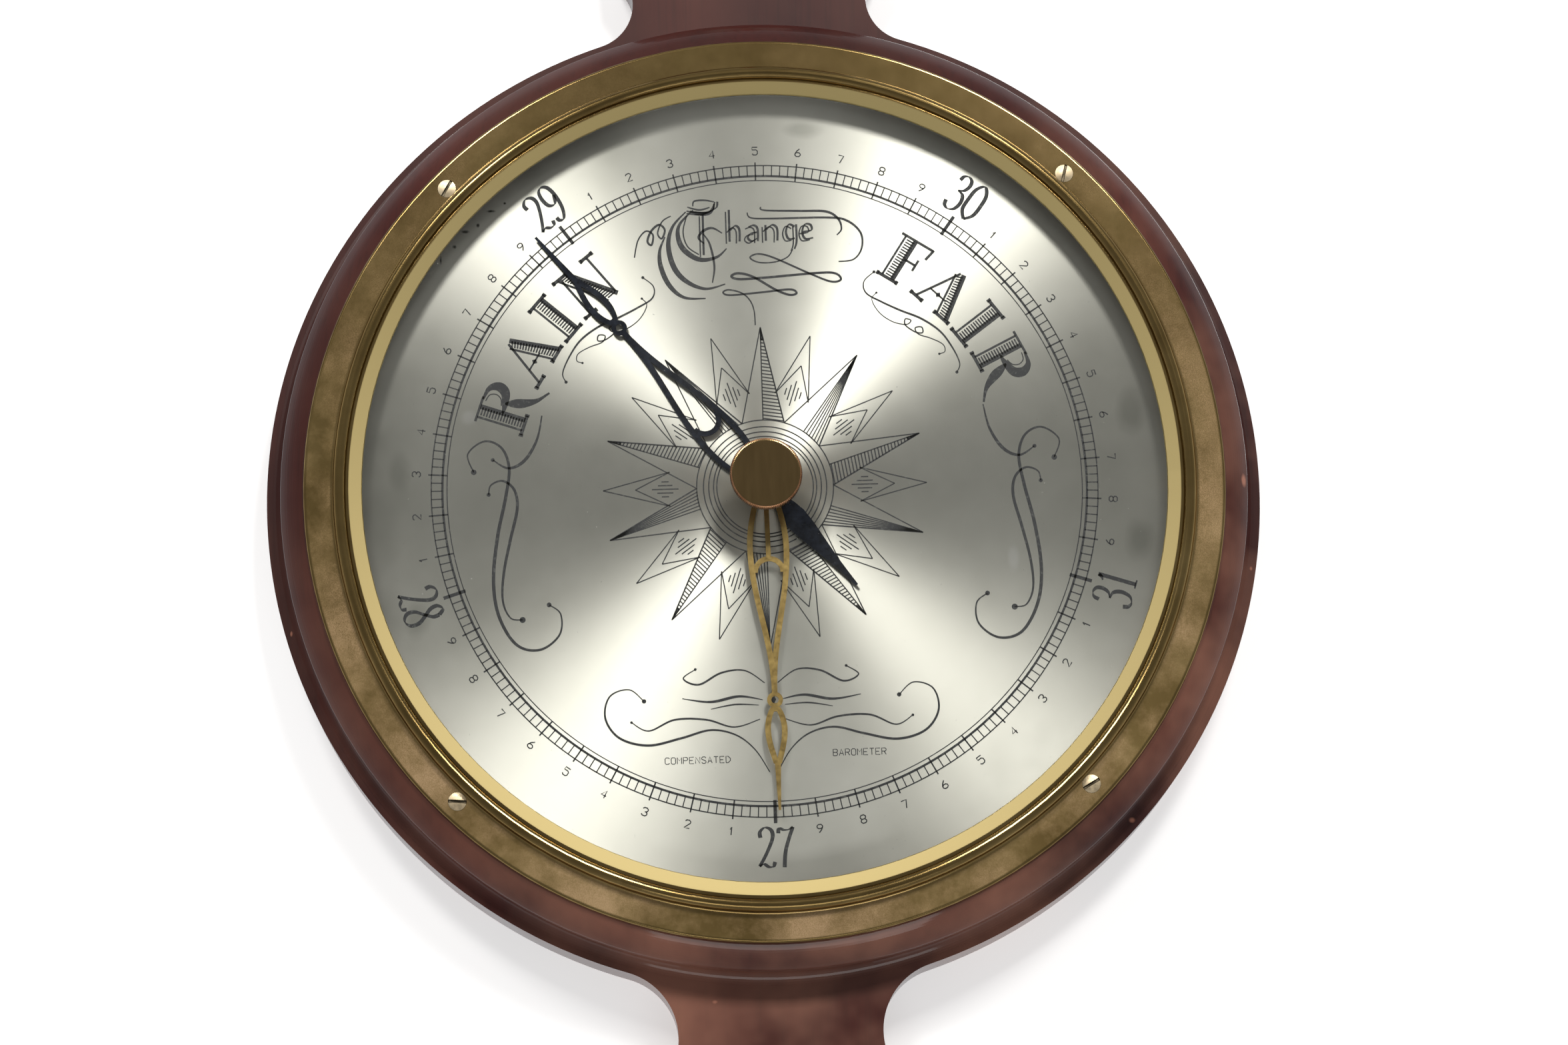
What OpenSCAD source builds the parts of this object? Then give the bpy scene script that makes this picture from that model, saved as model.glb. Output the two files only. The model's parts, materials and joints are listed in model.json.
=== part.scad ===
// Wall aneroid barometer in a banjo-shaped mahogany case.
//
// Everything is drawn on the bench: the instrument lies on its back, the dial axis is
// the Z axis, +Y points to the top of the case and z = 0 is the back of the board.
// hang() then stands it on the wall: +Z up, the dial faces -Y, and the origin is the
// centre of the hanging eye, on the wall.

/* [Case] */
// Radius of the round part of the board
board_r = 124.4; // [120:0.1:130]
// Thickness of the board
board_t = 16; // [14:0.5:18]
// Narrowest half width above the dial
top_waist = 29.8; // [26:0.1:34]
// Radius of the hollow curve above the dial
top_fillet = 11.8; // [10:0.1:14]
// Narrowest half width below the dial
low_waist = 25.1; // [22:0.1:28]
// Radius of the hollow curve below the dial
low_fillet = 17; // [14:0.1:19]
// Radius of the round boss at the foot of the case
boss_r = 34; // [30:0.5:40]
// Widest half width of the neck
neck_half = 38; // [37:0.5:40]
// Height of the neck's shoulders above the dial axis
neck_top = 286; // [280:1:300]
// Radius of the arched crest
crest_r = 26; // [22:0.5:30]
// Outer radius of the raised moulding round the dial
moulding_r = 120.3; // [119:0.1:121]
// Height of the hanging eye above the dial axis
hang_h = 288; // [284:1:289]

/* [Bezel and glass] */
// Outer radius of the brass bezel
bezel_r = 114.2; // [113:0.1:115]
// Radius of the bezel's raised bead
bead_r = 105.2; // [104.6:0.1:106]
// Radius of the opening in the bezel
sight_r = 99.5; // [98:0.1:100]
// Radius of the circle of bezel screws
bezel_screw_ring = 109.5; // [108.5:0.1:110.5]
// Radius of a bezel screw's head
bezel_screw_r = 2.25; // [2:0.05:2.5]
// Thickness of the glass
glass_t = 2; // [1.6:0.1:2]

/* [Dial and hands] */
// Height of the dial's face above the back of the board
dial_z = 26.5; // [26:0.1:26.8]
// Angle of the pointer, clockwise from the top
pointer_angle = -40.5; // [-60:0.5:20]
// Angle of the set hand, clockwise from the top
set_angle = 179.2; // [90:0.1:270]
// Reach of the pointer from the axis
pointer_reach = 85.6; // [80:0.1:88]
// Reach of the set hand from the axis
set_reach = 81.5; // [78:0.1:86]
// Thickness of both hands
hand_t = 0.4; // [0.3:0.05:0.5]
// Radius of the set knob's cap
knob_r = 8.9; // [7:0.1:10]
// Height of the top of the set knob above the dial's face
knob_h = 16.4; // [14:0.1:18]

/* [Movement] */
// Radius of the aneroid capsule
capsule_r = 20; // [18:0.5:21]
// Number of rings pressed into the capsule
capsule_waves = 4; // [3:1:5]
// Length of the arm that pulls the chain
chain_arm = 12; // [11:0.5:12]
// Length of the crank under the link rod
crank = 3; // [2.5:0.5:3]
// Turns of the hairspring
hairspring_turns = 5; // [3:1:6]

/* [Thermometer] */
// Height of the thermometer's centre above the dial axis
thermo_y = 214; // [208:1:216]
// Length of the thermometer's plate
thermo_l = 118; // [100:1:122]
// Width of the thermometer's plate
thermo_w = 28; // [24:1:34]
// Outer radius of the glass tube
tube_r = 2.2; // [1.8:0.1:2.4]

/* [Hidden] */
$fn = 96;

wood = [0.30, 0.12, 0.09];
brass = [0.66, 0.55, 0.27];
bright = [0.80, 0.68, 0.36];
steel = [0.60, 0.61, 0.62];
blued = [0.10, 0.12, 0.18];
silvered = [0.80, 0.80, 0.76];
bronze = [0.25, 0.16, 0.08];

// A hole is drawn this much past the face that it leaves
eps = 0.5;
// Radial clearance of a shaft that turns in a hole
run = 0.05;

// ---- heights on the dial axis, from the back of the board ----
seat_z = board_t + 8.8;
dial_t = 0.9;
dial_r = 101.4;
pan_t = dial_z - dial_t - seat_z;
pan_r = 101.8;
bezel_z = board_t + 13.8;
lip_z = bezel_z + 2.9;
glass_z = lip_z - glass_t;
moulding_bore = 102.6;
ledge_r = 96;
glass_r = 101.1;
bore_r = 50;
cover_r = 58;
cover_t = 1.2;
// Gap round a piece that is let into the wood
fit_gap = 0.3;
drum_r = 48.5;
drum_z = 2.8;
drum_t = 0.8;
base_z = drum_z + drum_t;
base_t = 1.6;
base_r = 38;
deck_z = base_z + base_t;

// ---- outline of the case ----
// Height of a hollow curve's centre, where it touches the round board
function fillet_y(waist, fillet) = sqrt(pow(board_r + fillet, 2) - pow(waist + fillet, 2));
top_y = fillet_y(top_waist, top_fillet);
low_y = fillet_y(low_waist, low_fillet);
boss_y = low_y + sqrt(pow(boss_r + low_fillet, 2) - pow(low_waist + low_fillet, 2));
// The neck's sides are two long arcs, widest at the thermometer
side_r = 640;

// ---- movement, in plan ----
pillar_y = 25;
pillar_r = 2.2;
bridge_half = 4;
bridge_t = 1.2;
lower_z = 16.4;
upper_z = 22.2;
arbor_r = 0.8;
pivot_r = 0.5;
chain_drum_r = 1.3;
chain_y = -1.9;
chain_z = 19.8;
shaft_x = 33;
shaft_z = chain_z - chain_arm + 0.2;
shaft_r = 0.9;
link_y = 5;
spring_z = 14;
spring_t = 1;
block_x = -34;
root_x = -24;
adjust_x = -29;
adjust_r = 2;
// Hole through which a screwdriver reaches the adjusting screw
adjust_hole_r = 3.4;

// ---- helpers ----
function arc(cx, cy, r, a0, a1, n) =
  [for (i = [0:n]) let (a = a0 + (a1 - a0) * i / n) [cx + r * cos(a), cy + r * sin(a)]];

module hang() {
  translate([0, 0, -hang_h])
    rotate([90, 0, 0])
      children();
}

module tube(r_out, r_in, h) {
  difference() {
    cylinder(r = r_out, h = h);
    translate([0, 0, -eps])
      cylinder(r = r_in, h = h + 2 * eps);
  }
}

module ring_of(radius, angles) {
  for (a = angles)
    rotate([0, 0, a])
      translate([radius, 0, 0])
        children();
}

// Cut across a screw head of radius r, from its top downwards
module slot(r, z, depth, angle) {
  rotate([0, 0, angle])
    translate([-r - eps, -r * 0.17, z - depth])
      cube([2 * (r + eps), r * 0.34, depth + eps]);
}

// Countersunk screw whose flat head's face is at z = 0 and whose shank runs down -z
module flat_screw(head_r, shank_r, length, angle = 0) {
  head_h = head_r - shank_r;
  difference() {
    union() {
      translate([0, 0, -head_h])
        cylinder(r1 = shank_r, r2 = head_r, h = head_h);
      translate([0, 0, -length])
        cylinder(r = shank_r, h = length - head_h);
    }
    slot(head_r, 0, head_h * 0.5, angle);
  }
}

// The hole that such a screw fills
module flat_screw_hole(head_r, shank_r, length) {
  head_h = head_r - shank_r;
  translate([0, 0, -head_h])
    cylinder(r1 = shank_r, r2 = head_r, h = head_h);
  translate([0, 0, -length])
    cylinder(r = shank_r, h = length - head_h + 0.01);
  cylinder(r = head_r, h = eps);
}

// Cheese-head screw: its head stands on z = 0
module cheese_screw(head_r, head_h, shank_r, length, angle = 0) {
  difference() {
    union() {
      cylinder(r = head_r, h = head_h);
      translate([0, 0, -length])
        cylinder(r = shank_r, h = length + 0.01);
    }
    slot(head_r, head_h, head_h * 0.5, angle);
  }
}

// ---- case ----
moulding_screw_ring = 110;
moulding_screw_angles = [0, 90, 180, 270];
moulding_screw_l = 22;
moulding_shank_r = 1.8;
moulding_sink_r = 4;
moulding_sink = 3;
cover_screw_ring = 54.5;
cover_screw_angles = [90, 210, 330];
cover_screw_l = 9;
cover_head_r = 2.2;
cover_shank_r = 1.2;
hanger_screw_y = 13;
hanger_head_r = 2.9;
hanger_shank_r = 1.5;
hanger_hole = 10;
vent_ring = 24;
vent_r = 2;
thermo_shank_r = 1.1;
thermo_hole = 9;
thermo_screw_y = thermo_l / 2 - 5;

// Half width of the neck at height y: its sides are long arcs, widest at the thermometer
function side_x(y) = sqrt(pow(side_r, 2) - pow(y - thermo_y, 2)) - (side_r - neck_half);

// Right half of the outline, from the foot's lowest point to the crest's highest
function half_outline() =
  let (
    top_x = top_waist + top_fillet,
    low_x = low_waist + low_fillet,
    top_a = atan2(top_y, top_x),
    low_a = atan2(low_y, low_x),
    boss_a = atan2(boss_y - low_y, low_x),
    cusp_y = top_y + top_fillet * 0.92,
    cusp_a = acos((side_x(cusp_y) - top_x) / top_fillet)
  )
  concat(
    arc(0, -boss_y, boss_r, -90, boss_a, 40),
    arc(low_x, -low_y, low_fillet, 180 + boss_a, 180 - low_a, 24),
    arc(0, 0, board_r, -low_a, top_a, 90),
    arc(top_x, top_y, top_fillet, 180 + top_a, cusp_a, 24),
    [for (i = [1:12]) let (y = cusp_y + (neck_top - cusp_y) * i / 12) [side_x(y), y]],
    arc(0, neck_top, crest_r, 0, 90, 24)
  );

module case_outline() {
  right = half_outline();
  last = len(right) - 1;
  polygon(concat(
    [for (i = [1:last]) right[i]],
    [for (i = [last - 1:-1:0]) [-right[i][0], right[i][1]]]
  ));
}

module case_board() {
  color(wood)
    hang()
      difference() {
        linear_extrude(board_t)
          case_outline();
        translate([0, 0, -eps])
          cylinder(r = bore_r, h = board_t + 2 * eps);
        translate([0, 0, -eps])
          cylinder(r = cover_r + fit_gap, h = cover_t + eps);
        ring_of(cover_screw_ring, cover_screw_angles)
          cylinder(r = cover_shank_r, h = cover_screw_l);
        ring_of(moulding_screw_ring, moulding_screw_angles) {
          translate([0, 0, -eps])
            cylinder(r = moulding_sink_r, h = moulding_sink + eps);
          cylinder(r = moulding_shank_r, h = board_t + eps);
        }
        translate([0, hang_h, 0])
          hanger_recess();
        for (s = [-1, 1])
          translate([0, thermo_y + s * thermo_screw_y, board_t - thermo_hole])
            cylinder(r = thermo_shank_r, h = thermo_hole + eps);
      }
}

hanger_w = 24;
hanger_l = 42;
hanger_t = 1.6;
eye_r = 4.5;
// Room in the wood for the head of the wall screw
head_room_r = 8;
head_room = 9;

module hanger_blank(grow) {
  for (s = [-1, 1])
    translate([0, s * (hanger_l - hanger_w) / 2])
      circle(r = hanger_w / 2 + grow);
  square([hanger_w + 2 * grow, hanger_l - hanger_w], center = true);
}

module hanger_recess() {
  translate([0, 0, -eps])
    linear_extrude(hanger_t + eps)
      hanger_blank(fit_gap);
  cylinder(r = head_room_r, h = head_room);
  for (s = [-1, 1])
    translate([0, s * hanger_screw_y, 0])
      cylinder(r = hanger_shank_r, h = hanger_hole);
}

module dial_moulding() {
  // The top falls away in a wide curve to a nose, a fillet and a cove
  top_in = bezel_r + 0.3;
  top_a = 65;
  nose_r = 0.9;
  nose_a = 42;
  nose_x = moulding_r - nose_r;
  slope_r = (nose_x + nose_r * cos(nose_a) - top_in) / (cos(nose_a) - cos(top_a));
  slope_x = top_in - slope_r * cos(top_a);
  slope_z = bezel_z - slope_r * sin(top_a);
  nose_z = slope_z + (slope_r - nose_r) * sin(nose_a);
  fillet_z = board_t + 6.6;
  cove_r = 3.2;
  cove_x = moulding_r - 0.7 + cove_r;
  profile = concat(
    [[ledge_r, board_t], [ledge_r, seat_z], [moulding_bore, seat_z], [moulding_bore, bezel_z]],
    arc(slope_x, slope_z, slope_r, top_a, nose_a, 10),
    arc(nose_x, nose_z, nose_r, nose_a - 10, 0, 5),
    [[moulding_r, fillet_z], [moulding_r - 0.7, fillet_z]],
    arc(cove_x, board_t + 0.2 + cove_r, cove_r, 180, 270, 8),
    [[cove_x, board_t]]
  );
  color(wood)
    hang()
      difference() {
        rotate_extrude($fn = 240)
          polygon(profile);
        ring_of(moulding_screw_ring, moulding_screw_angles)
          cylinder(r = moulding_shank_r, h = moulding_sink + moulding_screw_l);
        ring_of(bezel_screw_ring, bezel_screw_angles)
          translate([0, 0, bezel_z - bezel_shank_l])
            cylinder(r = bezel_shank_r, h = bezel_shank_l + eps);
        ring_of(pan_screw_ring, pan_screw_angles)
          translate([0, 0, seat_z - pan_screw_l])
            cylinder(r = pan_shank_r, h = pan_screw_l + eps);
      }
}

module moulding_screws() {
  color(steel)
    hang()
      ring_of(moulding_screw_ring, moulding_screw_angles)
        translate([0, 0, moulding_sink])
          rotate([180, 0, 0])
            cheese_screw(3.4, 2, moulding_shank_r, moulding_screw_l, 30);
}

module back_cover() {
  color(steel)
    hang()
      difference() {
        cylinder(r = cover_r, h = cover_t);
        ring_of(cover_screw_ring, cover_screw_angles)
          mirror([0, 0, 1])
            flat_screw_hole(cover_head_r, cover_shank_r, cover_t + eps);
        translate([adjust_x, 0, -eps])
          cylinder(r = adjust_hole_r, h = cover_t + 2 * eps);
        ring_of(vent_ring, [0, 60, 120, 240, 300])
          translate([0, 0, -eps])
            cylinder(r = vent_r, h = cover_t + 2 * eps);
      }
}

module back_cover_screws() {
  color(steel)
    hang()
      ring_of(cover_screw_ring, cover_screw_angles)
        mirror([0, 0, 1])
          flat_screw(cover_head_r, cover_shank_r, cover_screw_l, 20);
}

module hanger_plate() {
  color(brass)
    hang()
      translate([0, hang_h, 0])
        difference() {
          linear_extrude(hanger_t)
            hanger_blank(0);
          translate([0, 0, -eps])
            cylinder(r = eye_r, h = hanger_t + 2 * eps);
          for (s = [-1, 1])
            translate([0, s * hanger_screw_y, 0])
              mirror([0, 0, 1])
                flat_screw_hole(hanger_head_r, hanger_shank_r, hanger_hole);
        }
}

module hanger_screws() {
  color(brass)
    hang()
      for (s = [-1, 1])
        translate([0, hang_h + s * hanger_screw_y, 0])
          mirror([0, 0, 1])
            flat_screw(hanger_head_r, hanger_shank_r, hanger_hole - 1, 40 * s);
}

// ---- bezel and glass ----
bezel_screw_angles = [45, 135, 225, 315];
// Directions of the four slots, as the screws were left
bezel_slot_angles = [75, 60, -5, 30];
// Height of the seats that are cut for the screw heads
bezel_screw_z = bezel_z + 0.95;
bezel_shank_r = 1.1;
bezel_shank_l = 11;
bezel_head_h = 0.9;

module bezel() {
  // A flat lip, a round bead, a nearly flat flange and a small round rim
  lip_out = 102.9;
  bead_w = 1.6;
  rim_w = 0.7;
  profile = concat(
    [[glass_r + 0.2, bezel_z], [glass_r + 0.2, lip_z], [sight_r, lip_z]],
    [[sight_r + 0.2, lip_z + 0.3], [lip_out, lip_z + 0.75]],
    arc(bead_r, bezel_z + 3, bead_w, 165, 20, 14),
    arc(bead_r + bead_w + 0.7, bezel_z + 2.3, 0.8, 190, 262, 5),
    arc(bezel_r - rim_w, bezel_z + 1.4 - rim_w, rim_w, 90, 0, 6),
    [[bezel_r, bezel_z]]
  );
  color(brass)
    hang()
      difference() {
        rotate_extrude($fn = 240)
          polygon(profile);
        ring_of(bezel_screw_ring, bezel_screw_angles) {
          translate([0, 0, bezel_z - eps])
            cylinder(r = bezel_shank_r, h = 5);
          translate([0, 0, bezel_screw_z])
            cylinder(r = bezel_screw_r + run, h = 3);
        }
      }
}

module bezel_screws() {
  dome_r = 7;
  color(bright)
    hang()
      for (i = [0:3])
        rotate([0, 0, bezel_screw_angles[i]])
          translate([bezel_screw_ring, 0, bezel_screw_z])
            difference() {
              union() {
                intersection() {
                  translate([0, 0, bezel_head_h - dome_r])
                    sphere(r = dome_r, $fn = 48);
                  cylinder(r = bezel_screw_r, h = 2);
                }
                translate([0, 0, -bezel_shank_l])
                  cylinder(r = bezel_shank_r, h = bezel_shank_l + 0.2);
              }
              slot(bezel_screw_r, bezel_head_h, 0.7, bezel_slot_angles[i] - bezel_screw_angles[i]);
            }
}

module glass() {
  color([0.85, 0.92, 0.92, 0.3])
    hang()
      translate([0, 0, glass_z])
        difference() {
          cylinder(r = glass_r, h = glass_t, $fn = 240);
          translate([0, 0, -eps])
            cylinder(r = bush_r, h = glass_t + 2 * eps);
        }
}

module glass_retaining_ring() {
  ring_t = 0.9;
  color(steel)
    hang()
      translate([0, 0, glass_z - ring_t])
        difference() {
          tube(glass_r + 0.1, glass_r - 1, ring_t);
          translate([0, -2, -eps])
            cube([120, 4, 3]);
        }
}

// ---- set hand and its knob ----
bush_r = 2.6;
spindle_r = 1.5;
spindle_l = 8;
set_z = dial_z + 2.75;

module glass_bush() {
  color(bright)
    hang()
      difference() {
        union() {
          translate([0, 0, glass_z - 0.5])
            cylinder(r = 4, h = 0.5);
          translate([0, 0, glass_z])
            cylinder(r = bush_r, h = glass_t);
          translate([0, 0, lip_z])
            cylinder(r = 4.4, h = 0.7);
        }
        translate([0, 0, glass_z - 1])
          cylinder(r = spindle_r + run, h = glass_t + 3);
      }
}

module friction_washer() {
  color(bright)
    hang()
      translate([0, 0, lip_z + 0.75])
        tube(3.6, spindle_r + run, 0.4);
}

module set_spindle() {
  color(bright)
    hang()
      translate([0, 0, set_z])
        cylinder(r = spindle_r, h = spindle_l);
}

module set_knob() {
  top = dial_z + knob_h;
  foot = lip_z + 1.2;
  profile = concat(
    [[0, foot], [3.4, foot], [3.4, foot + 1.2]],
    arc(5.8, foot + 2.6, 2.8, 210, 130, 6),
    [[knob_r - 0.5, top - 2.9], [knob_r, top - 2.5], [knob_r, top - 0.3],
      [knob_r - 0.3, top], [0, top]]
  );
  color(bronze)
    hang()
      difference() {
        rotate_extrude($fn = 96)
          polygon(profile);
        translate([0, 0, foot - eps])
          cylinder(r = spindle_r, h = set_z + spindle_l - foot + eps);
      }
}

// Half width of a hand's big open bow at radius r, and of its small leaf
function bow(r) = r < 16
  ? 3.2 + 2 * sin(90 * (r - 4) / 12)
  : 0.7 + 2.25 * (1 + cos(180 * (r - 16) / 36));
function leaf(r) = 0.75 + 2 * pow(sin(180 * pow((r - 55.5) / 15.5, 0.75)), 1.1);

// The right-hand bar of a bow or leaf: its outer edge follows the half widths
module bar(radii, halves, w) {
  last = len(radii) - 1;
  polygon(concat(
    [for (i = [0:last]) [halves[i], radii[i]]],
    [for (i = [last:-1:0]) [max(halves[i] - w, -0.2), radii[i]]]
  ));
}

// A pierced hand that points along +Y. A set hand has a third bar down its middle
module hand_outline(reach, bars) {
  bow_radii = [for (i = [0:24]) 4 + 46 * i / 24];
  leaf_radii = [for (i = [0:14]) 56 + 14 * i / 14];
  bar_w = 1.4;
  arch_y = 22.3;
  arch_r = 4.1;
  eye_y = 54.2;
  neck_w = 1.4;
  for (m = [0, 1])
    mirror([m, 0, 0]) {
      bar(bow_radii, [for (r = bow_radii) bow(r)], bar_w);
      bar(leaf_radii, [for (r = leaf_radii) leaf(r)], bar_w);
    }
  if (bars == 3)
    translate([-0.6, 3])
      square([1.2, arch_y - arch_r - 2.4]);
  // Arch across the bow
  difference() {
    translate([0, arch_y])
      circle(r = arch_r, $fn = 48);
    translate([0, arch_y])
      circle(r = arch_r - 1.3, $fn = 48);
    translate([-10, arch_y])
      square([20, 10]);
  }
  // Neck, eye and second neck
  translate([-neck_w / 2, 49])
    square([neck_w, 4]);
  difference() {
    translate([0, eye_y])
      circle(r = 1.95, $fn = 32);
    translate([0, eye_y])
      circle(r = 0.9, $fn = 32);
  }
  translate([-neck_w / 2, eye_y + 1.3])
    square([neck_w, 1.6]);
  polygon([[-0.75, 69.6], [0.75, 69.6], [0.3, reach], [-0.3, reach]]);
}

module set_hand() {
  color(brass)
    hang()
      translate([0, 0, set_z])
        rotate([0, 0, -set_angle])
          linear_extrude(hand_t)
            difference() {
              union() {
                circle(r = 4.6, $fn = 48);
                hand_outline(set_reach, 3);
              }
              circle(r = spindle_r, $fn = 48);
            }
}

module set_hand_collet() {
  color(bright)
    hang()
      translate([0, 0, set_z + hand_t])
        tube(2.6, spindle_r, 0.5);
}

// ---- dial ----
dial_hole = 2.4;
foot_ring = 70;
foot_r = 1.5;
foot_angles = [90, 210, 330];

module dial() {
  color(silvered)
    hang()
      translate([0, 0, dial_z - dial_t])
        difference() {
          cylinder(r = dial_r, h = dial_t, $fn = 240);
          translate([0, 0, -eps])
            cylinder(r = dial_hole, h = dial_t + 2 * eps);
        }
}

module dial_feet() {
  color(brass)
    hang()
      ring_of(foot_ring, foot_angles)
        translate([0, 0, seat_z - 3.4])
          cylinder(r = foot_r, h = 3.4 + pan_t, $fn = 32);
}

module dial_nuts() {
  color(brass)
    hang()
      ring_of(foot_ring, foot_angles)
        translate([0, 0, seat_z - 2.4])
          difference() {
            cylinder(r = 3.2, h = 2.4, $fn = 6);
            translate([0, 0, -eps])
              cylinder(r = foot_r, h = 4, $fn = 32);
          }
}

pan_screw_ring = 98.8;
pan_screw_angles = [22.5, 112.5, 202.5, 292.5];
pan_head_r = 1.8;
pan_shank_r = 1;
pan_screw_l = 7;
base_screw_ring = 33;
base_screw_angles = [50, 130, 230, 310];
base_shank_r = 1.5;

module dial_pan() {
  wall = drum_r - 1;
  top = seat_z + pan_t;
  color(steel)
    hang()
      difference() {
        rotate_extrude($fn = 180)
          polygon([[0, drum_z], [drum_r, drum_z], [drum_r, seat_z], [pan_r, seat_z],
            [pan_r, top], [wall, top], [wall, drum_z + drum_t], [0, drum_z + drum_t]]);
        ring_of(foot_ring, foot_angles)
          translate([0, 0, seat_z - eps])
            cylinder(r = foot_r, h = 4, $fn = 32);
        ring_of(pan_screw_ring, pan_screw_angles)
          translate([0, 0, top])
            flat_screw_hole(pan_head_r, pan_shank_r, 6);
        ring_of(base_screw_ring, base_screw_angles)
          translate([0, 0, drum_z - eps])
            cylinder(r = base_shank_r, h = 3);
        translate([adjust_x, 0, drum_z - eps])
          cylinder(r = adjust_hole_r, h = 3);
      }
}

module pan_screws() {
  color(steel)
    hang()
      ring_of(pan_screw_ring, pan_screw_angles)
        translate([0, 0, seat_z + pan_t])
          flat_screw(pan_head_r, pan_shank_r, pan_screw_l, 25);
}

// ---- pointer and its arbor ----
pointer_z = dial_z + 1.2;
arbor_top = dial_z + 2.1;

module pointer() {
  // Half of the solid leaf on the tail
  tail = [[-0.2, -3], [-0.2, -33.8], [0.3, -33.8], [0.8, -28.5], [1.2, -25], [2.1, -19],
    [2.7, -15], [3, -11], [2.6, -8], [1.4, -3]];
  color(blued)
    hang()
      translate([0, 0, pointer_z])
        rotate([0, 0, -pointer_angle])
          linear_extrude(hand_t)
            difference() {
              union() {
                circle(r = 4.6, $fn = 48);
                hand_outline(pointer_reach, 2);
                for (m = [0, 1])
                  mirror([m, 0, 0])
                    polygon(tail);
              }
              circle(r = arbor_r, $fn = 32);
            }
}

module pointer_collet() {
  color(blued)
    hang()
      translate([0, 0, dial_z + 0.5])
        difference() {
          union() {
            cylinder(r = 1.9, h = 0.7);
            translate([0, 0, 0.7 + hand_t])
              cylinder(r = 1.6, h = 0.4);
          }
          translate([0, 0, -eps])
            cylinder(r = arbor_r, h = 4);
        }
}

module arbor() {
  color(steel)
    hang() {
      translate([0, 0, lower_z + 0.1])
        cylinder(r = pivot_r, h = bridge_t + 0.1, $fn = 32);
      translate([0, 0, lower_z + bridge_t + 0.1])
        cylinder(r = arbor_r, h = arbor_top - lower_z - bridge_t - 0.1, $fn = 32);
    }
}

module chain_drum() {
  color(bright)
    hang()
      translate([0, 0, 18.6])
        tube(chain_drum_r, arbor_r, 2.3);
}

module hairspring_collet() {
  color(bright)
    hang()
      translate([0, 0, hair_z])
        tube(1.5, arbor_r, 0.8);
}

spring_r0 = 2;
spring_r1 = 6;
spring_w = 0.18;
hair_z = 21.1;

module hairspring() {
  steps = hairspring_turns * 30;
  function spiral(i) = spring_r0 + (spring_r1 - spring_r0) * i / steps;
  color(steel)
    hang()
      translate([0, 0, hair_z + 0.1])
        linear_extrude(0.6)
          polygon(concat(
            [for (i = [0:steps]) spiral(i) * [cos(12 * i), sin(12 * i)]],
            [for (i = [steps:-1:0]) (spiral(i) + spring_w) * [cos(12 * i), sin(12 * i)]]
          ));
}

module hairspring_stud() {
  color(bright)
    hang()
      translate([spring_r1 + 0.2, -0.8, hair_z])
        cube([1.2, 1.6, upper_z - hair_z]);
}

// ---- plates of the movement ----
bridge_shank_r = 1.2;
module bridge_blank(centre_r, end_r) {
  difference() {
    union() {
      square([2 * bridge_half, 2 * pillar_y], center = true);
      circle(r = 8.4);
      for (s = [-1, 1])
        translate([0, s * pillar_y])
          circle(r = bridge_half);
    }
    circle(r = centre_r, $fn = 32);
    for (s = [-1, 1])
      translate([0, s * pillar_y])
        circle(r = end_r, $fn = 32);
  }
}

module top_bridge() {
  color(brass)
    hang()
      translate([0, 0, upper_z])
        linear_extrude(bridge_t)
          bridge_blank(arbor_r + run, bridge_shank_r);
}

module lower_bridge() {
  color(brass)
    hang()
      translate([0, 0, lower_z])
        linear_extrude(bridge_t)
          bridge_blank(pivot_r + run, pillar_r);
}

module bridge_pillars() {
  color(brass)
    hang()
      for (s = [-1, 1])
        translate([0, s * pillar_y, deck_z])
          difference() {
            cylinder(r = pillar_r, h = upper_z - deck_z, $fn = 32);
            translate([0, 0, upper_z - deck_z - 4])
              cylinder(r = bridge_shank_r, h = 5, $fn = 32);
          }
}

module bridge_screws() {
  color(steel)
    hang()
      for (s = [-1, 1])
        translate([0, s * pillar_y, upper_z + bridge_t])
          cheese_screw(2.2, 1, bridge_shank_r, 4, 35 * s, $fn = 32);
}

stud_r = 2.5;

module movement_base() {
  color(brass)
    hang()
      translate([0, 0, base_z])
        difference() {
          cylinder(r = base_r, h = base_t);
          translate([0, 0, -eps])
            cylinder(r = stud_r, h = 3);
          ring_of(base_screw_ring, base_screw_angles)
            translate([0, 0, -eps])
              cylinder(r = base_shank_r, h = 3);
          translate([adjust_x, 0, -eps])
            cylinder(r = adjust_r + run, h = 3);
        }
}

module base_screws() {
  color(steel)
    hang()
      ring_of(base_screw_ring, base_screw_angles)
        translate([0, 0, drum_z])
          rotate([180, 0, 0])
            cheese_screw(2.6, 1, base_shank_r, drum_t + base_t, 15, $fn = 32);
}

// ---- capsule and spring ----
capsule_z = deck_z + 0.8;
capsule_t = 5;
wave = 0.3;

module capsule() {
  well_r = 2.3;
  steps = 48;
  top = capsule_z + capsule_t - wave;
  function rim(i) = well_r + (capsule_r - 2 - well_r) * i / steps;
  function ripple(i) = wave * cos(360 * capsule_waves * i / steps);
  profile = concat(
    [[0, capsule_z], [3.4, capsule_z], [3.4, capsule_z + wave]],
    [for (i = [8:steps]) [rim(i), capsule_z + wave - ripple(i) * 0.9]],
    [[capsule_r, capsule_z + 1.8], [capsule_r, capsule_z + capsule_t - 1.8]],
    [for (i = [steps:-1:0]) [rim(i), top + ripple(i)]],
    [[well_r, capsule_z + 3.6], [0, capsule_z + 3.6]]
  );
  color(bright)
    hang()
      rotate_extrude()
        polygon(profile);
}

module capsule_stud() {
  color(brass)
    hang()
      translate([0, 0, base_z])
        cylinder(r = stud_r, h = capsule_z - base_z, $fn = 48);
}

post_z = capsule_z + 4.4;
pin_r = 0.6;
pin_z = spring_z - 1.5;

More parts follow.
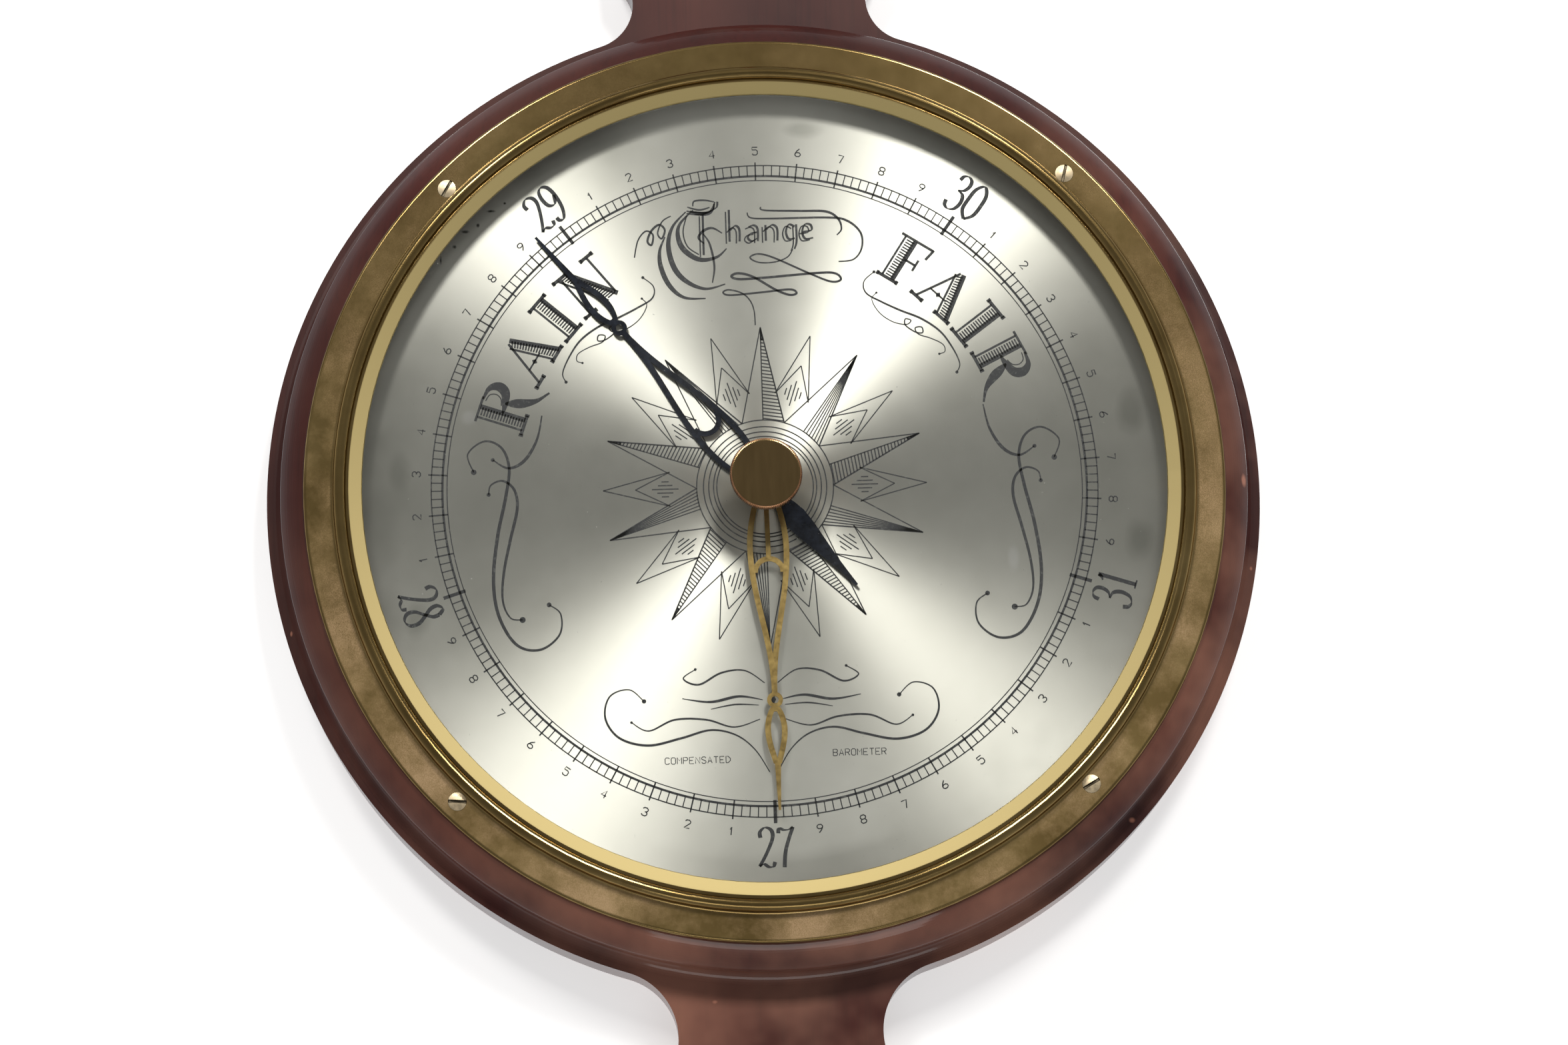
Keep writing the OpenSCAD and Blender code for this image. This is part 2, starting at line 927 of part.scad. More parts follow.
module capsule_post() {
  color(steel)
    hang()
      difference() {
        translate([0, 0, post_z])
          cylinder(r = 1.8, h = spring_z - 0.4 - post_z, $fn = 32);
        translate([0, 10, pin_z])
          rotate([90, 0, 0])
            cylinder(r = pin_r, h = 20, $fn = 24);
      }
}

module spring_pin() {
  color(steel)
    hang()
      translate([0, 5, pin_z])
        rotate([90, 0, 0])
          cylinder(r = pin_r, h = 10, $fn = 24);
}

block_w = 18;
clamp_t = 2;
clamp_screw_y = 6;
clamp_shank_r = 1.2;

module spring_block() {
  color(brass)
    hang()
      difference() {
        translate([block_x, -block_w / 2, deck_z])
          cube([root_x - block_x, block_w, spring_z - deck_z]);
        translate([adjust_x, 0, deck_z - eps])
          cylinder(r = adjust_r + run, h = 7);
        for (s = [-1, 1])
          translate([adjust_x, s * clamp_screw_y, spring_z - 4])
            cylinder(r = clamp_shank_r, h = 5, $fn = 32);
      }
}

module spring_clamp() {
  color(steel)
    hang()
      difference() {
        translate([block_x, -block_w / 2, spring_z])
          cube([root_x - 0.4 - block_x, block_w, clamp_t]);
        for (s = [-1, 1])
          translate([adjust_x, s * clamp_screw_y, spring_z - eps])
            cylinder(r = clamp_shank_r, h = 5, $fn = 32);
      }
}

module spring_screws() {
  color(steel)
    hang()
      for (s = [-1, 1])
        translate([adjust_x, s * clamp_screw_y, spring_z + clamp_t])
          cheese_screw(2.2, 1.2, clamp_shank_r, 6, 50 * s, $fn = 32);
}

// Leaf spring from its root over the capsule, tapering to its tip
module main_spring() {
  color(steel)
    hang()
      translate([0, 0, spring_z])
        linear_extrude(spring_t)
          polygon([[root_x, -8], [root_x, 8], [4, 6.5], [4, -5]]);
}

lever_end = shaft_x - crank + 1.5;

module main_lever() {
  color(brass)
    hang()
      translate([-12, link_y - 1, spring_z + spring_t])
        cube([lever_end + 12, 2, 0.6]);
}

module link_rod() {
  foot = shaft_z + 1;
  color(steel)
    hang()
      translate([shaft_x - crank, link_y, foot])
        cylinder(r = 0.6, h = spring_z + spring_t - 0.4 - foot, $fn = 24);
}

module rocking_shaft() {
  color(steel)
    hang() {
      translate([shaft_x, 10, shaft_z])
        rotate([90, 0, 0])
          cylinder(r = shaft_r, h = 20, $fn = 32);
      // Arm that holds the chain
      translate([shaft_x - 0.7, chain_y - 0.6, shaft_z])
        cube([1.4, 1.2, chain_arm + 0.4]);
      // Crank under the link rod
      translate([shaft_x - crank - 1, link_y - 0.6, shaft_z - 0.6])
        cube([crank + 1, 1.2, 1.2]);
    }
}

module shaft_brackets() {
  color(brass)
    hang()
      difference() {
        for (s = [-1, 1])
          translate([shaft_x - 2.5, s * 9.25 - 0.75, deck_z])
            cube([5, 1.5, shaft_z + 2.2 - deck_z]);
        translate([shaft_x, 12, shaft_z])
          rotate([90, 0, 0])
            cylinder(r = shaft_r + run, h = 24, $fn = 32);
      }
}

// Fine chain, drawn taut: flat links on a common strip
module fusee_chain() {
  links = 18;
  start = -5;
  finish = shaft_x - 1.3;
  pitch = (finish - start) / links;
  color(steel)
    hang() {
      translate([start, chain_y - 0.15, chain_z - 0.25])
        cube([finish - start, 0.3, 0.5]);
      for (i = [0:links - 1])
        translate([start + pitch * i + 0.25, chain_y - 0.25, chain_z - 0.4])
          cube([pitch - 0.5, 0.5, 0.8]);
    }
}

module adjusting_screw() {
  color(bright)
    hang()
      translate([adjust_x, 0, base_z - 0.1])
        rotate([180, 0, 0])
          cheese_screw(2.8, 1, adjust_r, 7, 10, $fn = 48);
}

// ---- thermometer ----
plate_t = 0.8;
tube_z = board_t + plate_t + tube_r + 0.1;
tube_l = thermo_l - 26;
spirit_r = 0.6;
bulb_r = 3;
wire_r = 0.5;
clip_r = 4.2;
clip_y = tube_l * 0.36;

module on_neck() {
  hang()
    translate([0, thermo_y, 0])
      children();
}

module thermometer_plate() {
  color(silvered)
    on_neck()
      difference() {
        translate([-thermo_w / 2, -thermo_l / 2, board_t])
          cube([thermo_w, thermo_l, plate_t]);
        for (s = [-1, 1])
          translate([0, s * thermo_screw_y, board_t - eps])
            cylinder(r = thermo_shank_r, h = 3, $fn = 32);
        for (s = [-1, 1], t = [-1, 1])
          translate([t * clip_r, s * clip_y, board_t - eps])
            cylinder(r = wire_r, h = 3, $fn = 24);
        translate([0, -tube_l / 2, tube_z])
          sphere(r = bulb_r + 0.1, $fn = 48);
      }
}

module thermometer_tube() {
  color([0.9, 0.95, 0.95, 0.4])
    on_neck()
      difference() {
        union() {
          translate([0, tube_l / 2, tube_z])
            rotate([90, 0, 0])
              cylinder(r = tube_r, h = tube_l, $fn = 48);
          translate([0, tube_l / 2, tube_z])
            sphere(r = tube_r, $fn = 48);
        }
        translate([0, tube_l / 2 - 3, tube_z])
          rotate([90, 0, 0])
            cylinder(r = spirit_r + 0.02, h = tube_l, $fn = 32);
        translate([0, -tube_l / 2, tube_z])
          sphere(r = bulb_r - 0.02, $fn = 48);
      }
}

module thermometer_spirit() {
  color([0.75, 0.08, 0.08])
    on_neck() {
      translate([0, -tube_l / 2, tube_z])
        sphere(r = bulb_r - 0.05, $fn = 48);
      translate([0, tube_l * 0.1, tube_z])
        rotate([90, 0, 0])
          cylinder(r = spirit_r, h = tube_l * 0.6, $fn = 32);
    }
}

// Two bent wires that hold the tube down on its plate
module tube_clips() {
  color(brass)
    on_neck()
      for (s = [-1, 1])
        translate([0, s * clip_y, 0]) {
          for (t = [-1, 1])
            translate([t * clip_r, 0, board_t])
              cylinder(r = wire_r, h = tube_z - board_t, $fn = 24);
          translate([0, 0, tube_z])
            rotate([90, 0, 0])
              rotate_extrude(angle = 180, $fn = 48)
                translate([clip_r, 0])
                  circle(r = wire_r, $fn = 24);
        }
}

module thermometer_screws() {
  color(bright)
    on_neck()
      for (s = [-1, 1])
        translate([0, s * thermo_screw_y, board_t + plate_t])
          cheese_screw(2, 0.9, thermo_shank_r, thermo_hole - 1, 60 * s, $fn = 32);
}

case_board();
dial_moulding();
moulding_screws();
back_cover();
back_cover_screws();
hanger_plate();
hanger_screws();
bezel();
bezel_screws();
glass();
glass_retaining_ring();
dial();
dial_feet();
dial_nuts();
dial_pan();
pan_screws();
set_knob();
set_spindle();
friction_washer();
glass_bush();
set_hand();
set_hand_collet();
pointer();
pointer_collet();
arbor();
chain_drum();
hairspring_collet();
hairspring();
hairspring_stud();
top_bridge();
lower_bridge();
bridge_pillars();
bridge_screws();
movement_base();
base_screws();
capsule();
capsule_stud();
capsule_post();
spring_pin();
spring_block();
spring_clamp();
spring_screws();
main_spring();
main_lever();
link_rod();
rocking_shaft();
shaft_brackets();
fusee_chain();
adjusting_screw();
thermometer_plate();
thermometer_tube();
thermometer_spirit();
tube_clips();
thermometer_screws();
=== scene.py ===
"""Looks of a banjo-shaped wall aneroid barometer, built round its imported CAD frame.

The barometer hangs from its eye at the origin: +Z is up and the dial faces -Y. Print on the
dial is drawn in millimetres from the dial's centre, x to the right and y up.
"""

import json
import math

import bpy
from mathutils import Matrix, Vector


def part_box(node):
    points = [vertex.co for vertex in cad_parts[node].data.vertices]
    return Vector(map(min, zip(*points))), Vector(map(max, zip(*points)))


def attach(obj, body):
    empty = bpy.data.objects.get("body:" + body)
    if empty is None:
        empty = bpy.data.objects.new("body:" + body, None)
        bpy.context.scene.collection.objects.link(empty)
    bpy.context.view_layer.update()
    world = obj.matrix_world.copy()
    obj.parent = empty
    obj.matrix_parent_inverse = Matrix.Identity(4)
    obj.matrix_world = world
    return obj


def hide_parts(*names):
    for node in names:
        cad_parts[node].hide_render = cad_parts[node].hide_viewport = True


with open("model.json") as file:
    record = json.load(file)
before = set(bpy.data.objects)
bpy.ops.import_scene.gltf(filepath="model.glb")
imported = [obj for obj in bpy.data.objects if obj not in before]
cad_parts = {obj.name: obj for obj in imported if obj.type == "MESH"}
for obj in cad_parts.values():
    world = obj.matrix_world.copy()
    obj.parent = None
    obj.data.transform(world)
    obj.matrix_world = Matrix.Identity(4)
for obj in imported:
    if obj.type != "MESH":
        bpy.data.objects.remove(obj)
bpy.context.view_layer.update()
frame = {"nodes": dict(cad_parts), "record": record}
MM = 0.001
NODES = frame["nodes"]

DIAL_LO, DIAL_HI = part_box("dial")
DIAL_X = (DIAL_LO.x + DIAL_HI.x) / 2
DIAL_Z = (DIAL_LO.z + DIAL_HI.z) / 2
DIAL_Y = DIAL_LO.y
DIAL_CENTRE = Vector((DIAL_X, DIAL_Y, DIAL_Z))


# ---------------------------------------------------------------- camera
# The camera stands over the dial, a little below its axis, and looks at it through a long lens.
CAMERA_TILT = math.radians(-11.716)
CAMERA_YAW = math.radians(1.109)
CAMERA_ROLL = math.radians(1.790)
CAMERA_OFFSET = Vector((-4.696, 8.897, -1149.096)) * MM
LENS = 106.22
SENSOR = 36.0


def dial_point(x, y, height=0.0):
    """A point in metres from the dial's centre: x right, y up, height towards the viewer."""
    return Vector((DIAL_X + x, DIAL_Y - height, DIAL_Z + y))


def make_camera():
    turn = (
        Matrix.Rotation(CAMERA_TILT, 3, "X")
        @ Matrix.Rotation(CAMERA_YAW, 3, "Y")
        @ Matrix.Rotation(CAMERA_ROLL, 3, "Z")
    )
    place = -(turn.transposed() @ CAMERA_OFFSET)
    bench_to_wall = Matrix(((1, 0, 0), (0, 0, -1), (0, 1, 0)))
    data = bpy.data.cameras.new("camera")
    data.lens = LENS
    data.sensor_width = SENSOR
    data.clip_start = 0.01
    data.clip_end = 50
    camera = bpy.data.objects.new("camera", data)
    camera.matrix_world = Matrix.Translation(dial_point(*place)) @ (
        bench_to_wall @ turn.transposed()
    ).to_4x4()
    bpy.context.scene.collection.objects.link(camera)
    bpy.context.scene.camera = camera


# ---------------------------------------------------------------- material helpers
def new_material(name):
    material = bpy.data.materials.new(name)
    material.use_nodes = True
    tree = material.node_tree
    shader = tree.nodes["Principled BSDF"]
    return material, tree, shader


def add(tree, kind, **settings):
    node = tree.nodes.new(kind)
    for key, value in settings.items():
        setattr(node, key, value)
    return node


def link(tree, source, target):
    tree.links.new(source, target)


def math_node(tree, operation, a, b=None, clamp=False):
    node = add(tree, "ShaderNodeMath", operation=operation, use_clamp=clamp)
    for socket, value in zip(node.inputs, (a, b)):
        if value is None:
            continue
        if isinstance(value, (int, float)):
            socket.default_value = value
        else:
            link(tree, value, socket)
    return node.outputs[0]


def position(tree):
    """Where a point is at rest, in metres in the row frame."""
    return add(tree, "ShaderNodeTexCoord").outputs["Object"]


def mapped(tree, vector, scale):
    node = add(tree, "ShaderNodeMapping")
    node.inputs["Scale"].default_value = scale
    link(tree, vector, node.inputs["Vector"])
    return node.outputs[0]


def noise(tree, vector, scale, detail=4.0, roughness=0.55):
    node = add(tree, "ShaderNodeTexNoise")
    node.inputs["Scale"].default_value = scale
    node.inputs["Detail"].default_value = detail
    node.inputs["Roughness"].default_value = roughness
    link(tree, vector, node.inputs["Vector"])
    return node.outputs["Fac"]


def ramp(tree, value, stops):
    node = add(tree, "ShaderNodeValToRGB")
    elements = node.color_ramp.elements
    while len(elements) < len(stops):
        elements.new(0.5)
    for element, (place, colour) in zip(elements, stops):
        element.position = place
        element.color = (*colour, 1) if len(colour) == 3 else colour
    link(tree, value, node.inputs["Fac"])
    return node.outputs["Color"]


def grey_ramp(tree, value, low, high, dark=0.0, light=1.0):
    return ramp(tree, value, [(low, (dark,) * 3), (high, (light,) * 3)])


def mix(tree, factor, a, b, blend="MIX"):
    node = add(tree, "ShaderNodeMix", data_type="RGBA", blend_type=blend)
    for socket, value in ((node.inputs[0], factor), (node.inputs[6], a), (node.inputs[7], b)):
        if isinstance(value, (int, float)):
            socket.default_value = value
        elif isinstance(value, tuple):
            socket.default_value = (*value, 1)
        else:
            link(tree, value, socket)
    return node.outputs[2]


def bump(tree, shader, height, strength, distance):
    node = add(tree, "ShaderNodeBump")
    node.inputs["Strength"].default_value = strength
    node.inputs["Distance"].default_value = distance
    link(tree, height, node.inputs["Height"])
    link(tree, node.outputs[0], shader.inputs["Normal"])


def length_of(tree, vector):
    node = add(tree, "ShaderNodeVectorMath", operation="LENGTH")
    link(tree, vector, node.inputs[0])
    return node.outputs["Value"]


def dial_radius(tree):
    """Distance from the dial's axis, in metres, and the vector from the axis."""
    shift = add(tree, "ShaderNodeVectorMath", operation="SUBTRACT")
    link(tree, position(tree), shift.inputs[0])
    shift.inputs[1].default_value = DIAL_CENTRE
    flat = add(tree, "ShaderNodeVectorMath", operation="MULTIPLY")
    link(tree, shift.outputs[0], flat.inputs[0])
    flat.inputs[1].default_value = (1, 0, 1)
    return length_of(tree, flat.outputs[0]), flat.outputs[0]


def speckle(tree, vector, scale, share):
    """Fine dust: 1 on scattered grains, 0 elsewhere."""
    value = noise(tree, vector, scale, 2.0, 0.7)
    return grey_ramp(tree, value, 1 - share, 1 - share + 0.05)


LOWER_DOWN_LEAST = 0.12


def lower_down(tree, top, bottom, rightward=0.0):
    """LOWER_DOWN_LEAST above the height -top / 2, rising to 1 at -bottom / 2, in metres.

    With rightward, it comes as much sooner towards +X.
    """
    split = add(tree, "ShaderNodeSeparateXYZ")
    link(tree, position(tree), split.inputs[0])
    fall = math_node(tree, "MULTIPLY", split.outputs["Z"], -2.0)
    if rightward:
        fall = math_node(tree, "ADD", fall, math_node(tree, "MULTIPLY", split.outputs["X"], rightward))
    return grey_ramp(tree, fall, top, bottom, LOWER_DOWN_LEAST, 1.0)


SPOT_EDGE = (0.55, 1.1)
ENDLESS = 1e6


def spots(tree, places, ragged=0.5, grain=260.0):
    """1 inside ragged marks at (x, y, half width, half height), in millimetres on the dial."""
    rough = math_node(tree, "MULTIPLY", noise(tree, position(tree), grain, 3), ragged)
    mask = None
    for x, y, half_width, half_height in places:
        place = add(tree, "ShaderNodeMapping", vector_type="TEXTURE")
        place.inputs["Location"].default_value = dial_point(x * MM, y * MM)
        place.inputs["Scale"].default_value = (half_width * MM, ENDLESS, half_height * MM)
        link(tree, position(tree), place.inputs["Vector"])
        edge = math_node(tree, "ADD", length_of(tree, place.outputs[0]), rough)
        mark = grey_ramp(tree, edge, *SPOT_EDGE, 1.0, 0.0)
        mask = mark if mask is None else math_node(tree, "MAXIMUM", mask, mark)
    return mask


# ---------------------------------------------------------------- materials
# Marks of age, and dark patches on the dial: x, y, half width and half height, in millimetres from the dial's
# centre
CHIPS = [
    (119.2, -1.6, 1.0, 2.6), (121.2, -22, 0.6, 0.9), (-97.2, 72.4, 0.9, 1.4), (88.4, -84.6, 1.3, 1.1),
    (-16, -126.5, 1.0, 0.7), (-118.6, -32, 0.5, 1.0),
]
DARK_PATCHES = [(91.7, 17, 6.0, 11), (92.6, -16, 6.0, 8.5), (-91, 6, 6.5, 13), (-87, -32, 5.5, 8), (12, 92, 9, 4)]
FLAKES = [
    (-79.5, 60.2, 0.5, 2.0), (-76.0, 63.6, 1.0, 0.9), (-73.2, 67.4, 1.7, 0.7), (-70.0, 69.0, 0.8, 1.1),
    (-66.6, 72.6, 2.0, 0.7), (-63.2, 74.6, 0.7, 0.6),
]
PALE_MARKS = [(-73.2, 19.6, 3.4, 3.2), (61, -20, 2.4, 5.0)]


def dusty_film(tree, place, low, film, grains):
    """How far a lighter brown film covers a place: patches with grains on them, spread by the given mask. It
    stands for dust, and for painted light where the mask carries it.
    """
    patches = math_node(tree, "MULTIPLY", grey_ramp(tree, noise(tree, place, 22, 4), 0.36, 0.62), low)
    grained = math_node(tree, "MULTIPLY", patches, speckle(tree, place, 2600, 0.42))
    grained = math_node(tree, "MULTIPLY", grained, grains)
    return math_node(tree, "MAXIMUM", grained, math_node(tree, "MULTIPLY", patches, film))


def mahogany():
    """Polished red mahogany with its grain upright, chipped at its edges and dusty low down; the lighter film
    reaches further up towards +X as painted light on the case's lit right side.
    """
    material, tree, shader = new_material("mahogany")
    place = position(tree)
    broad = noise(tree, mapped(tree, place, (1, 1, 0.12)), 26, 4, 0.5)
    pores = noise(tree, mapped(tree, place, (1, 1, 0.045)), 700, 3, 0.6)
    wood = ramp(
        tree,
        broad,
        [(0.25, (0.032, 0.0055, 0.0042)), (0.52, (0.062, 0.0100, 0.0070)), (0.8, (0.105, 0.0175, 0.0115))],
    )
    wood = mix(tree, 1.0, wood, grey_ramp(tree, pores, 0.34, 0.5, 0.82, 1.0), "MULTIPLY")
    # The lighter film lies lower down as dust, and rises further up towards +X as painted light on the case's
    # lit right side.
    low = lower_down(tree, 0.40, 0.80, rightward=1.5)
    dust = dusty_film(tree, place, low, film=0.44, grains=0.42)
    # Its lighter brown is dust low down, and painted light towards +X.
    wood = mix(tree, dust, wood, (0.52, 0.235, 0.155))
    link(tree, mix(tree, spots(tree, CHIPS), wood, (0.42, 0.17, 0.11)), shader.inputs["Base Color"])
    link(tree, grey_ramp(tree, dust, 0.0, 0.5, 0.36, 0.7), shader.inputs["Roughness"])
    shader.inputs["Specular IOR Level"].default_value = 0.25
    shader.inputs["Coat Weight"].default_value = 0.5
    shader.inputs["Coat Roughness"].default_value = 0.07
    bump(tree, shader, pores, 0.06, 0.0002)
    return material


# Radii on the bezel, in millimetres
LIP_EDGE, FLANGE_EDGE, RIM_EDGE = 102.7, 106.9, 113.2
# Roughness of the polished brass, and what dust, the matt lip and the dulled flange add to it
BRASS_POLISH, DUST_ROUGH, LIP_ROUGH, DULL_ROUGH = 0.15, 0.1, 0.24, 0.17
BRASS_DUST = 0.8


def aged_brass():
    """Lacquered brass; its flange is dulled and dusty low down, its lip is matt and pale."""
    material, tree, shader = new_material("aged_brass")
    radius, _ = dial_radius(tree)
    place = position(tree)
    tone = noise(tree, place, 38, 5, 0.62)
    metal = ramp(
        tree, tone, [(0.3, (0.22, 0.145, 0.052)), (0.55, (0.32, 0.220, 0.084)), (0.75, (0.42, 0.30, 0.125))]
    )

    def outside(edge, width):
        """0 inside a radius, 1 past it by a width."""
        beyond = math_node(tree, "SUBTRACT", radius, edge * MM)
        return grey_ramp(tree, math_node(tree, "MULTIPLY", beyond, 1 / (width * MM)), 0.0, 1.0)

    on_flange = math_node(tree, "SUBTRACT", outside(FLANGE_EDGE, 0.8), outside(RIM_EDGE, 0.5), clamp=True)
    cloud = grey_ramp(tree, noise(tree, place, 30, 6, 0.68), 0.38, 0.60)
    low = lower_down(tree, 0.34, 0.72)
    cloud = math_node(tree, "MULTIPLY", cloud, low)
    grains = grey_ramp(tree, noise(tree, place, 4200, 2, 0.7), 0.36, 0.66, 0.45, 1.0)
    dust = math_node(tree, "MULTIPLY", math_node(tree, "MULTIPLY", cloud, grains), on_flange)
    dust = math_node(tree, "MULTIPLY", dust, BRASS_DUST)
    lip = math_node(tree, "SUBTRACT", 1.0, outside(LIP_EDGE, 0.3))
    metal = mix(tree, lip, metal, (0.44, 0.35, 0.16))
    link(tree, mix(tree, dust, metal, (0.52, 0.34, 0.19)), shader.inputs["Base Color"])
    link(tree, grey_ramp(tree, dust, 0.0, 0.62, 1.0, 0.1), shader.inputs["Metallic"])
    dulled = math_node(tree, "MULTIPLY", math_node(tree, "POWER", low, 3.0), on_flange)
    rough = BRASS_POLISH
    for place_share, added in ((dust, DUST_ROUGH), (lip, LIP_ROUGH), (dulled, DULL_ROUGH)):
        rough = math_node(tree, "ADD", math_node(tree, "MULTIPLY", place_share, added), rough)
    link(tree, rough, shader.inputs["Roughness"])
    return material


CORNER_REACH = 0.9


def plain_metal(name, low, high, roughness, scale=60.0, grain=900.0):
    """Metal whose tone drifts between two colours, with fine marks in its gloss and shade painted into its
    corners.
    """
    material, tree, shader = new_material(name)
    place = position(tree)
    tone = noise(tree, place, scale, 5, 0.6)
    corners = add(tree, "ShaderNodeAmbientOcclusion", samples=8)
    corners.inputs["Distance"].default_value = CORNER_REACH * MM
    worn = ramp(tree, tone, [(0.35, low), (0.68, high)])
    # Painted shade: the colour darkens in slots, corners and recesses, where ambient occlusion finds surfaces
    # within CORNER_REACH millimetres.
    corner_shade = grey_ramp(tree, corners.outputs["AO"], 0.55, 0.9, 0.03, 1.0)
    link(tree, mix(tree, 1.0, worn, corner_shade, "MULTIPLY"), shader.inputs["Base Color"])
    fine = noise(tree, place, grain, 3, 0.65)
    link(
        tree,
        grey_ramp(tree, fine, 0.3, 0.7, roughness * 0.8, min(1, roughness * 1.3)),
        shader.inputs["Roughness"],
    )
    shader.inputs["Metallic"].default_value = 1.0
    bump(tree, shader, fine, 0.05, 0.0001)
    return material


BRUSH_FINENESS = 9000
DARK_EDGE_START, DARK_EDGE_WIDTH = 0.070, 1 / 33


def silvered():
    """Silvered brass, brushed in circles, darker in patches towards its edge."""
    material, tree, shader = new_material("silvered_dial")
    radius, outward = dial_radius(tree)
    place = position(tree)
    rings = add(tree, "ShaderNodeTexNoise", noise_dimensions="1D")
    rings.inputs["Scale"].default_value = BRUSH_FINENESS
    rings.inputs["Detail"].default_value = 3
    link(tree, radius, rings.inputs["W"])
    brushed = grey_ramp(tree, rings.outputs["Fac"], 0.3, 0.7, 0.93, 1.0)
    cloud = noise(tree, place, 30, 5, 0.62)
    metal = ramp(tree, cloud, [(0.3, (0.610, 0.608, 0.540)), (0.7, (0.690, 0.688, 0.620))])
    metal = mix(tree, 1.0, metal, brushed, "MULTIPLY")
    # The colour darkens in blotches from 70 mm out towards the edge, and in the listed dark patches.
    beyond = math_node(tree, "SUBTRACT", radius, DARK_EDGE_START)
    edge = grey_ramp(tree, math_node(tree, "MULTIPLY", beyond, 1 / DARK_EDGE_WIDTH), 0.0, 1.0)
    blotch = grey_ramp(tree, noise(tree, place, 26, 3), 0.52, 0.7)
    dark_edge = math_node(tree, "MULTIPLY", math_node(tree, "MULTIPLY", edge, blotch), 0.45)
    dark_patches = math_node(tree, "MULTIPLY", spots(tree, DARK_PATCHES, 0.6, 90), 0.42)
    metal = mix(tree, math_node(tree, "MAXIMUM", dark_edge, dark_patches), metal, (0.27, 0.275, 0.235))
    metal = mix(tree, math_node(tree, "MULTIPLY", spots(tree, PALE_MARKS), 0.3), metal, (0.95, 0.95, 0.93))
    metal = mix(tree, spots(tree, FLAKES, 0.7, 700), metal, (0.03, 0.028, 0.02))
    link(tree, metal, shader.inputs["Base Color"])
    shader.inputs["Metallic"].default_value = 1.0
    shader.inputs["Anisotropic"].default_value = 0.94
    link(tree, grey_ramp(tree, cloud, 0.3, 0.7, 0.37, 0.42), shader.inputs["Roughness"])
    unit = add(tree, "ShaderNodeVectorMath", operation="NORMALIZE")
    link(tree, outward, unit.inputs[0])
    link(tree, unit.outputs[0], shader.inputs["Tangent"])
    return material


def ink():
    """Blue-black printing ink, worn grey in specks."""
    material, tree, shader = new_material("dial_ink")
    worn = noise(tree, position(tree), 900, 3, 0.7)
    colour = ramp(tree, worn, [(0.30, (0.085, 0.09, 0.085)), (0.45, (0.011, 0.013, 0.016))])
    link(tree, colour, shader.inputs["Base Color"])
    shader.inputs["Roughness"].default_value = 0.55
    return material


def clear_glass():
    """A flat pane: nearly clear, with faint grease marks and fine dust."""
    material, tree, shader = new_material("glass")
    place = position(tree)
    marks = grey_ramp(tree, noise(tree, place, 28, 4, 0.6), 0.45, 0.75, 0.006, 0.022)
    specks = math_node(tree, "MULTIPLY", speckle(tree, place, 1300, 0.27), 0.4)
    link(tree, math_node(tree, "MAXIMUM", marks, specks), shader.inputs["Alpha"])
    shader.inputs["Base Color"].default_value = (0.70, 0.70, 0.64, 1)
    link(tree, grey_ramp(tree, noise(tree, place, 400, 3), 0.3, 0.7, 0.10, 0.2), shader.inputs["Roughness"])
    return material


def red_spirit():
    """The thermometer's dyed spirit."""
    material, tree, shader = new_material("red_spirit")
    tone = noise(tree, position(tree), 300, 2)
    colour = ramp(tree, tone, [(0.3, (0.42, 0.01, 0.01)), (0.7, (0.6, 0.02, 0.02))])
    link(tree, colour, shader.inputs["Base Color"])
    shader.inputs["Roughness"].default_value = 0.12
    return material


def knob_cap():
    """Dark bronzed cap, polished, with fine straight wiping marks."""
    material, tree, shader = new_material("bronzed_cap")
    streaks = noise(tree, mapped(tree, position(tree), (1, 1, 0.12)), 700, 3, 0.6)
    colour = ramp(tree, streaks, [(0.3, (0.30, 0.200, 0.088)), (0.7, (0.33, 0.222, 0.100))])
    link(tree, colour, shader.inputs["Base Color"])
    shader.inputs["Metallic"].default_value = 1.0
    link(tree, grey_ramp(tree, streaks, 0.3, 0.7, 0.12, 0.15), shader.inputs["Roughness"])
    return material


MATERIALS = {
    "mahogany": mahogany(),
    "aged_brass": aged_brass(),
    "bright_brass": plain_metal("bright_brass", (0.62, 0.49, 0.31), (0.80, 0.67, 0.46), 0.44),
    "hand_brass": plain_metal("hand_brass", (0.27, 0.185, 0.062), (0.40, 0.285, 0.10), 0.38, 400),
    "steel": plain_metal("steel", (0.42, 0.42, 0.41), (0.58, 0.58, 0.57), 0.3),
    "zinc_plate": plain_metal("zinc_plate", (0.48, 0.48, 0.46), (0.64, 0.64, 0.61), 0.42, 90),
    "blued_steel": plain_metal("blued_steel", (0.010, 0.012, 0.018), (0.022, 0.027, 0.040), 0.30, 300),
    "silvered_dial": silvered(),
    "nickel_silver": plain_metal("nickel_silver", (0.50, 0.48, 0.42), (0.66, 0.64, 0.57), 0.27),
    "bronzed_cap": knob_cap(),
    "glass": clear_glass(),
    "red_spirit": red_spirit(),
}
INK = ink()
COPPER = plain_metal("knurled_copper", (0.52, 0.24, 0.12), (0.74, 0.40, 0.22), 0.26, 500)


def dress_cad():
    """Every CAD node takes the finish of its slot in the record."""
    for part in frame["record"]["subparts"]:
        node = NODES[part["node"]]
        node.data.materials.clear()
        node.data.materials.append(MATERIALS[part["material_slot"]])


# ---------------------------------------------------------------- mesh helpers
def make_mesh(name, vertices, faces, material, smooth=False):
    mesh = bpy.data.meshes.new(name)
    mesh.from_pydata(vertices, [], faces)
    mesh.materials.append(material)
    mesh.update()
    piece = bpy.data.objects.new(name, mesh)
    bpy.context.scene.collection.objects.link(piece)
    for polygon in mesh.polygons:
        polygon.use_smooth = smooth
    return piece


# ---------------------------------------------------------------- print
INK_RISE = 0.03
INK_DEPTH = 0.04
CURVE_STEPS = 8
SWASH_STEPS = 10
SWASH_SWELL = 1.5


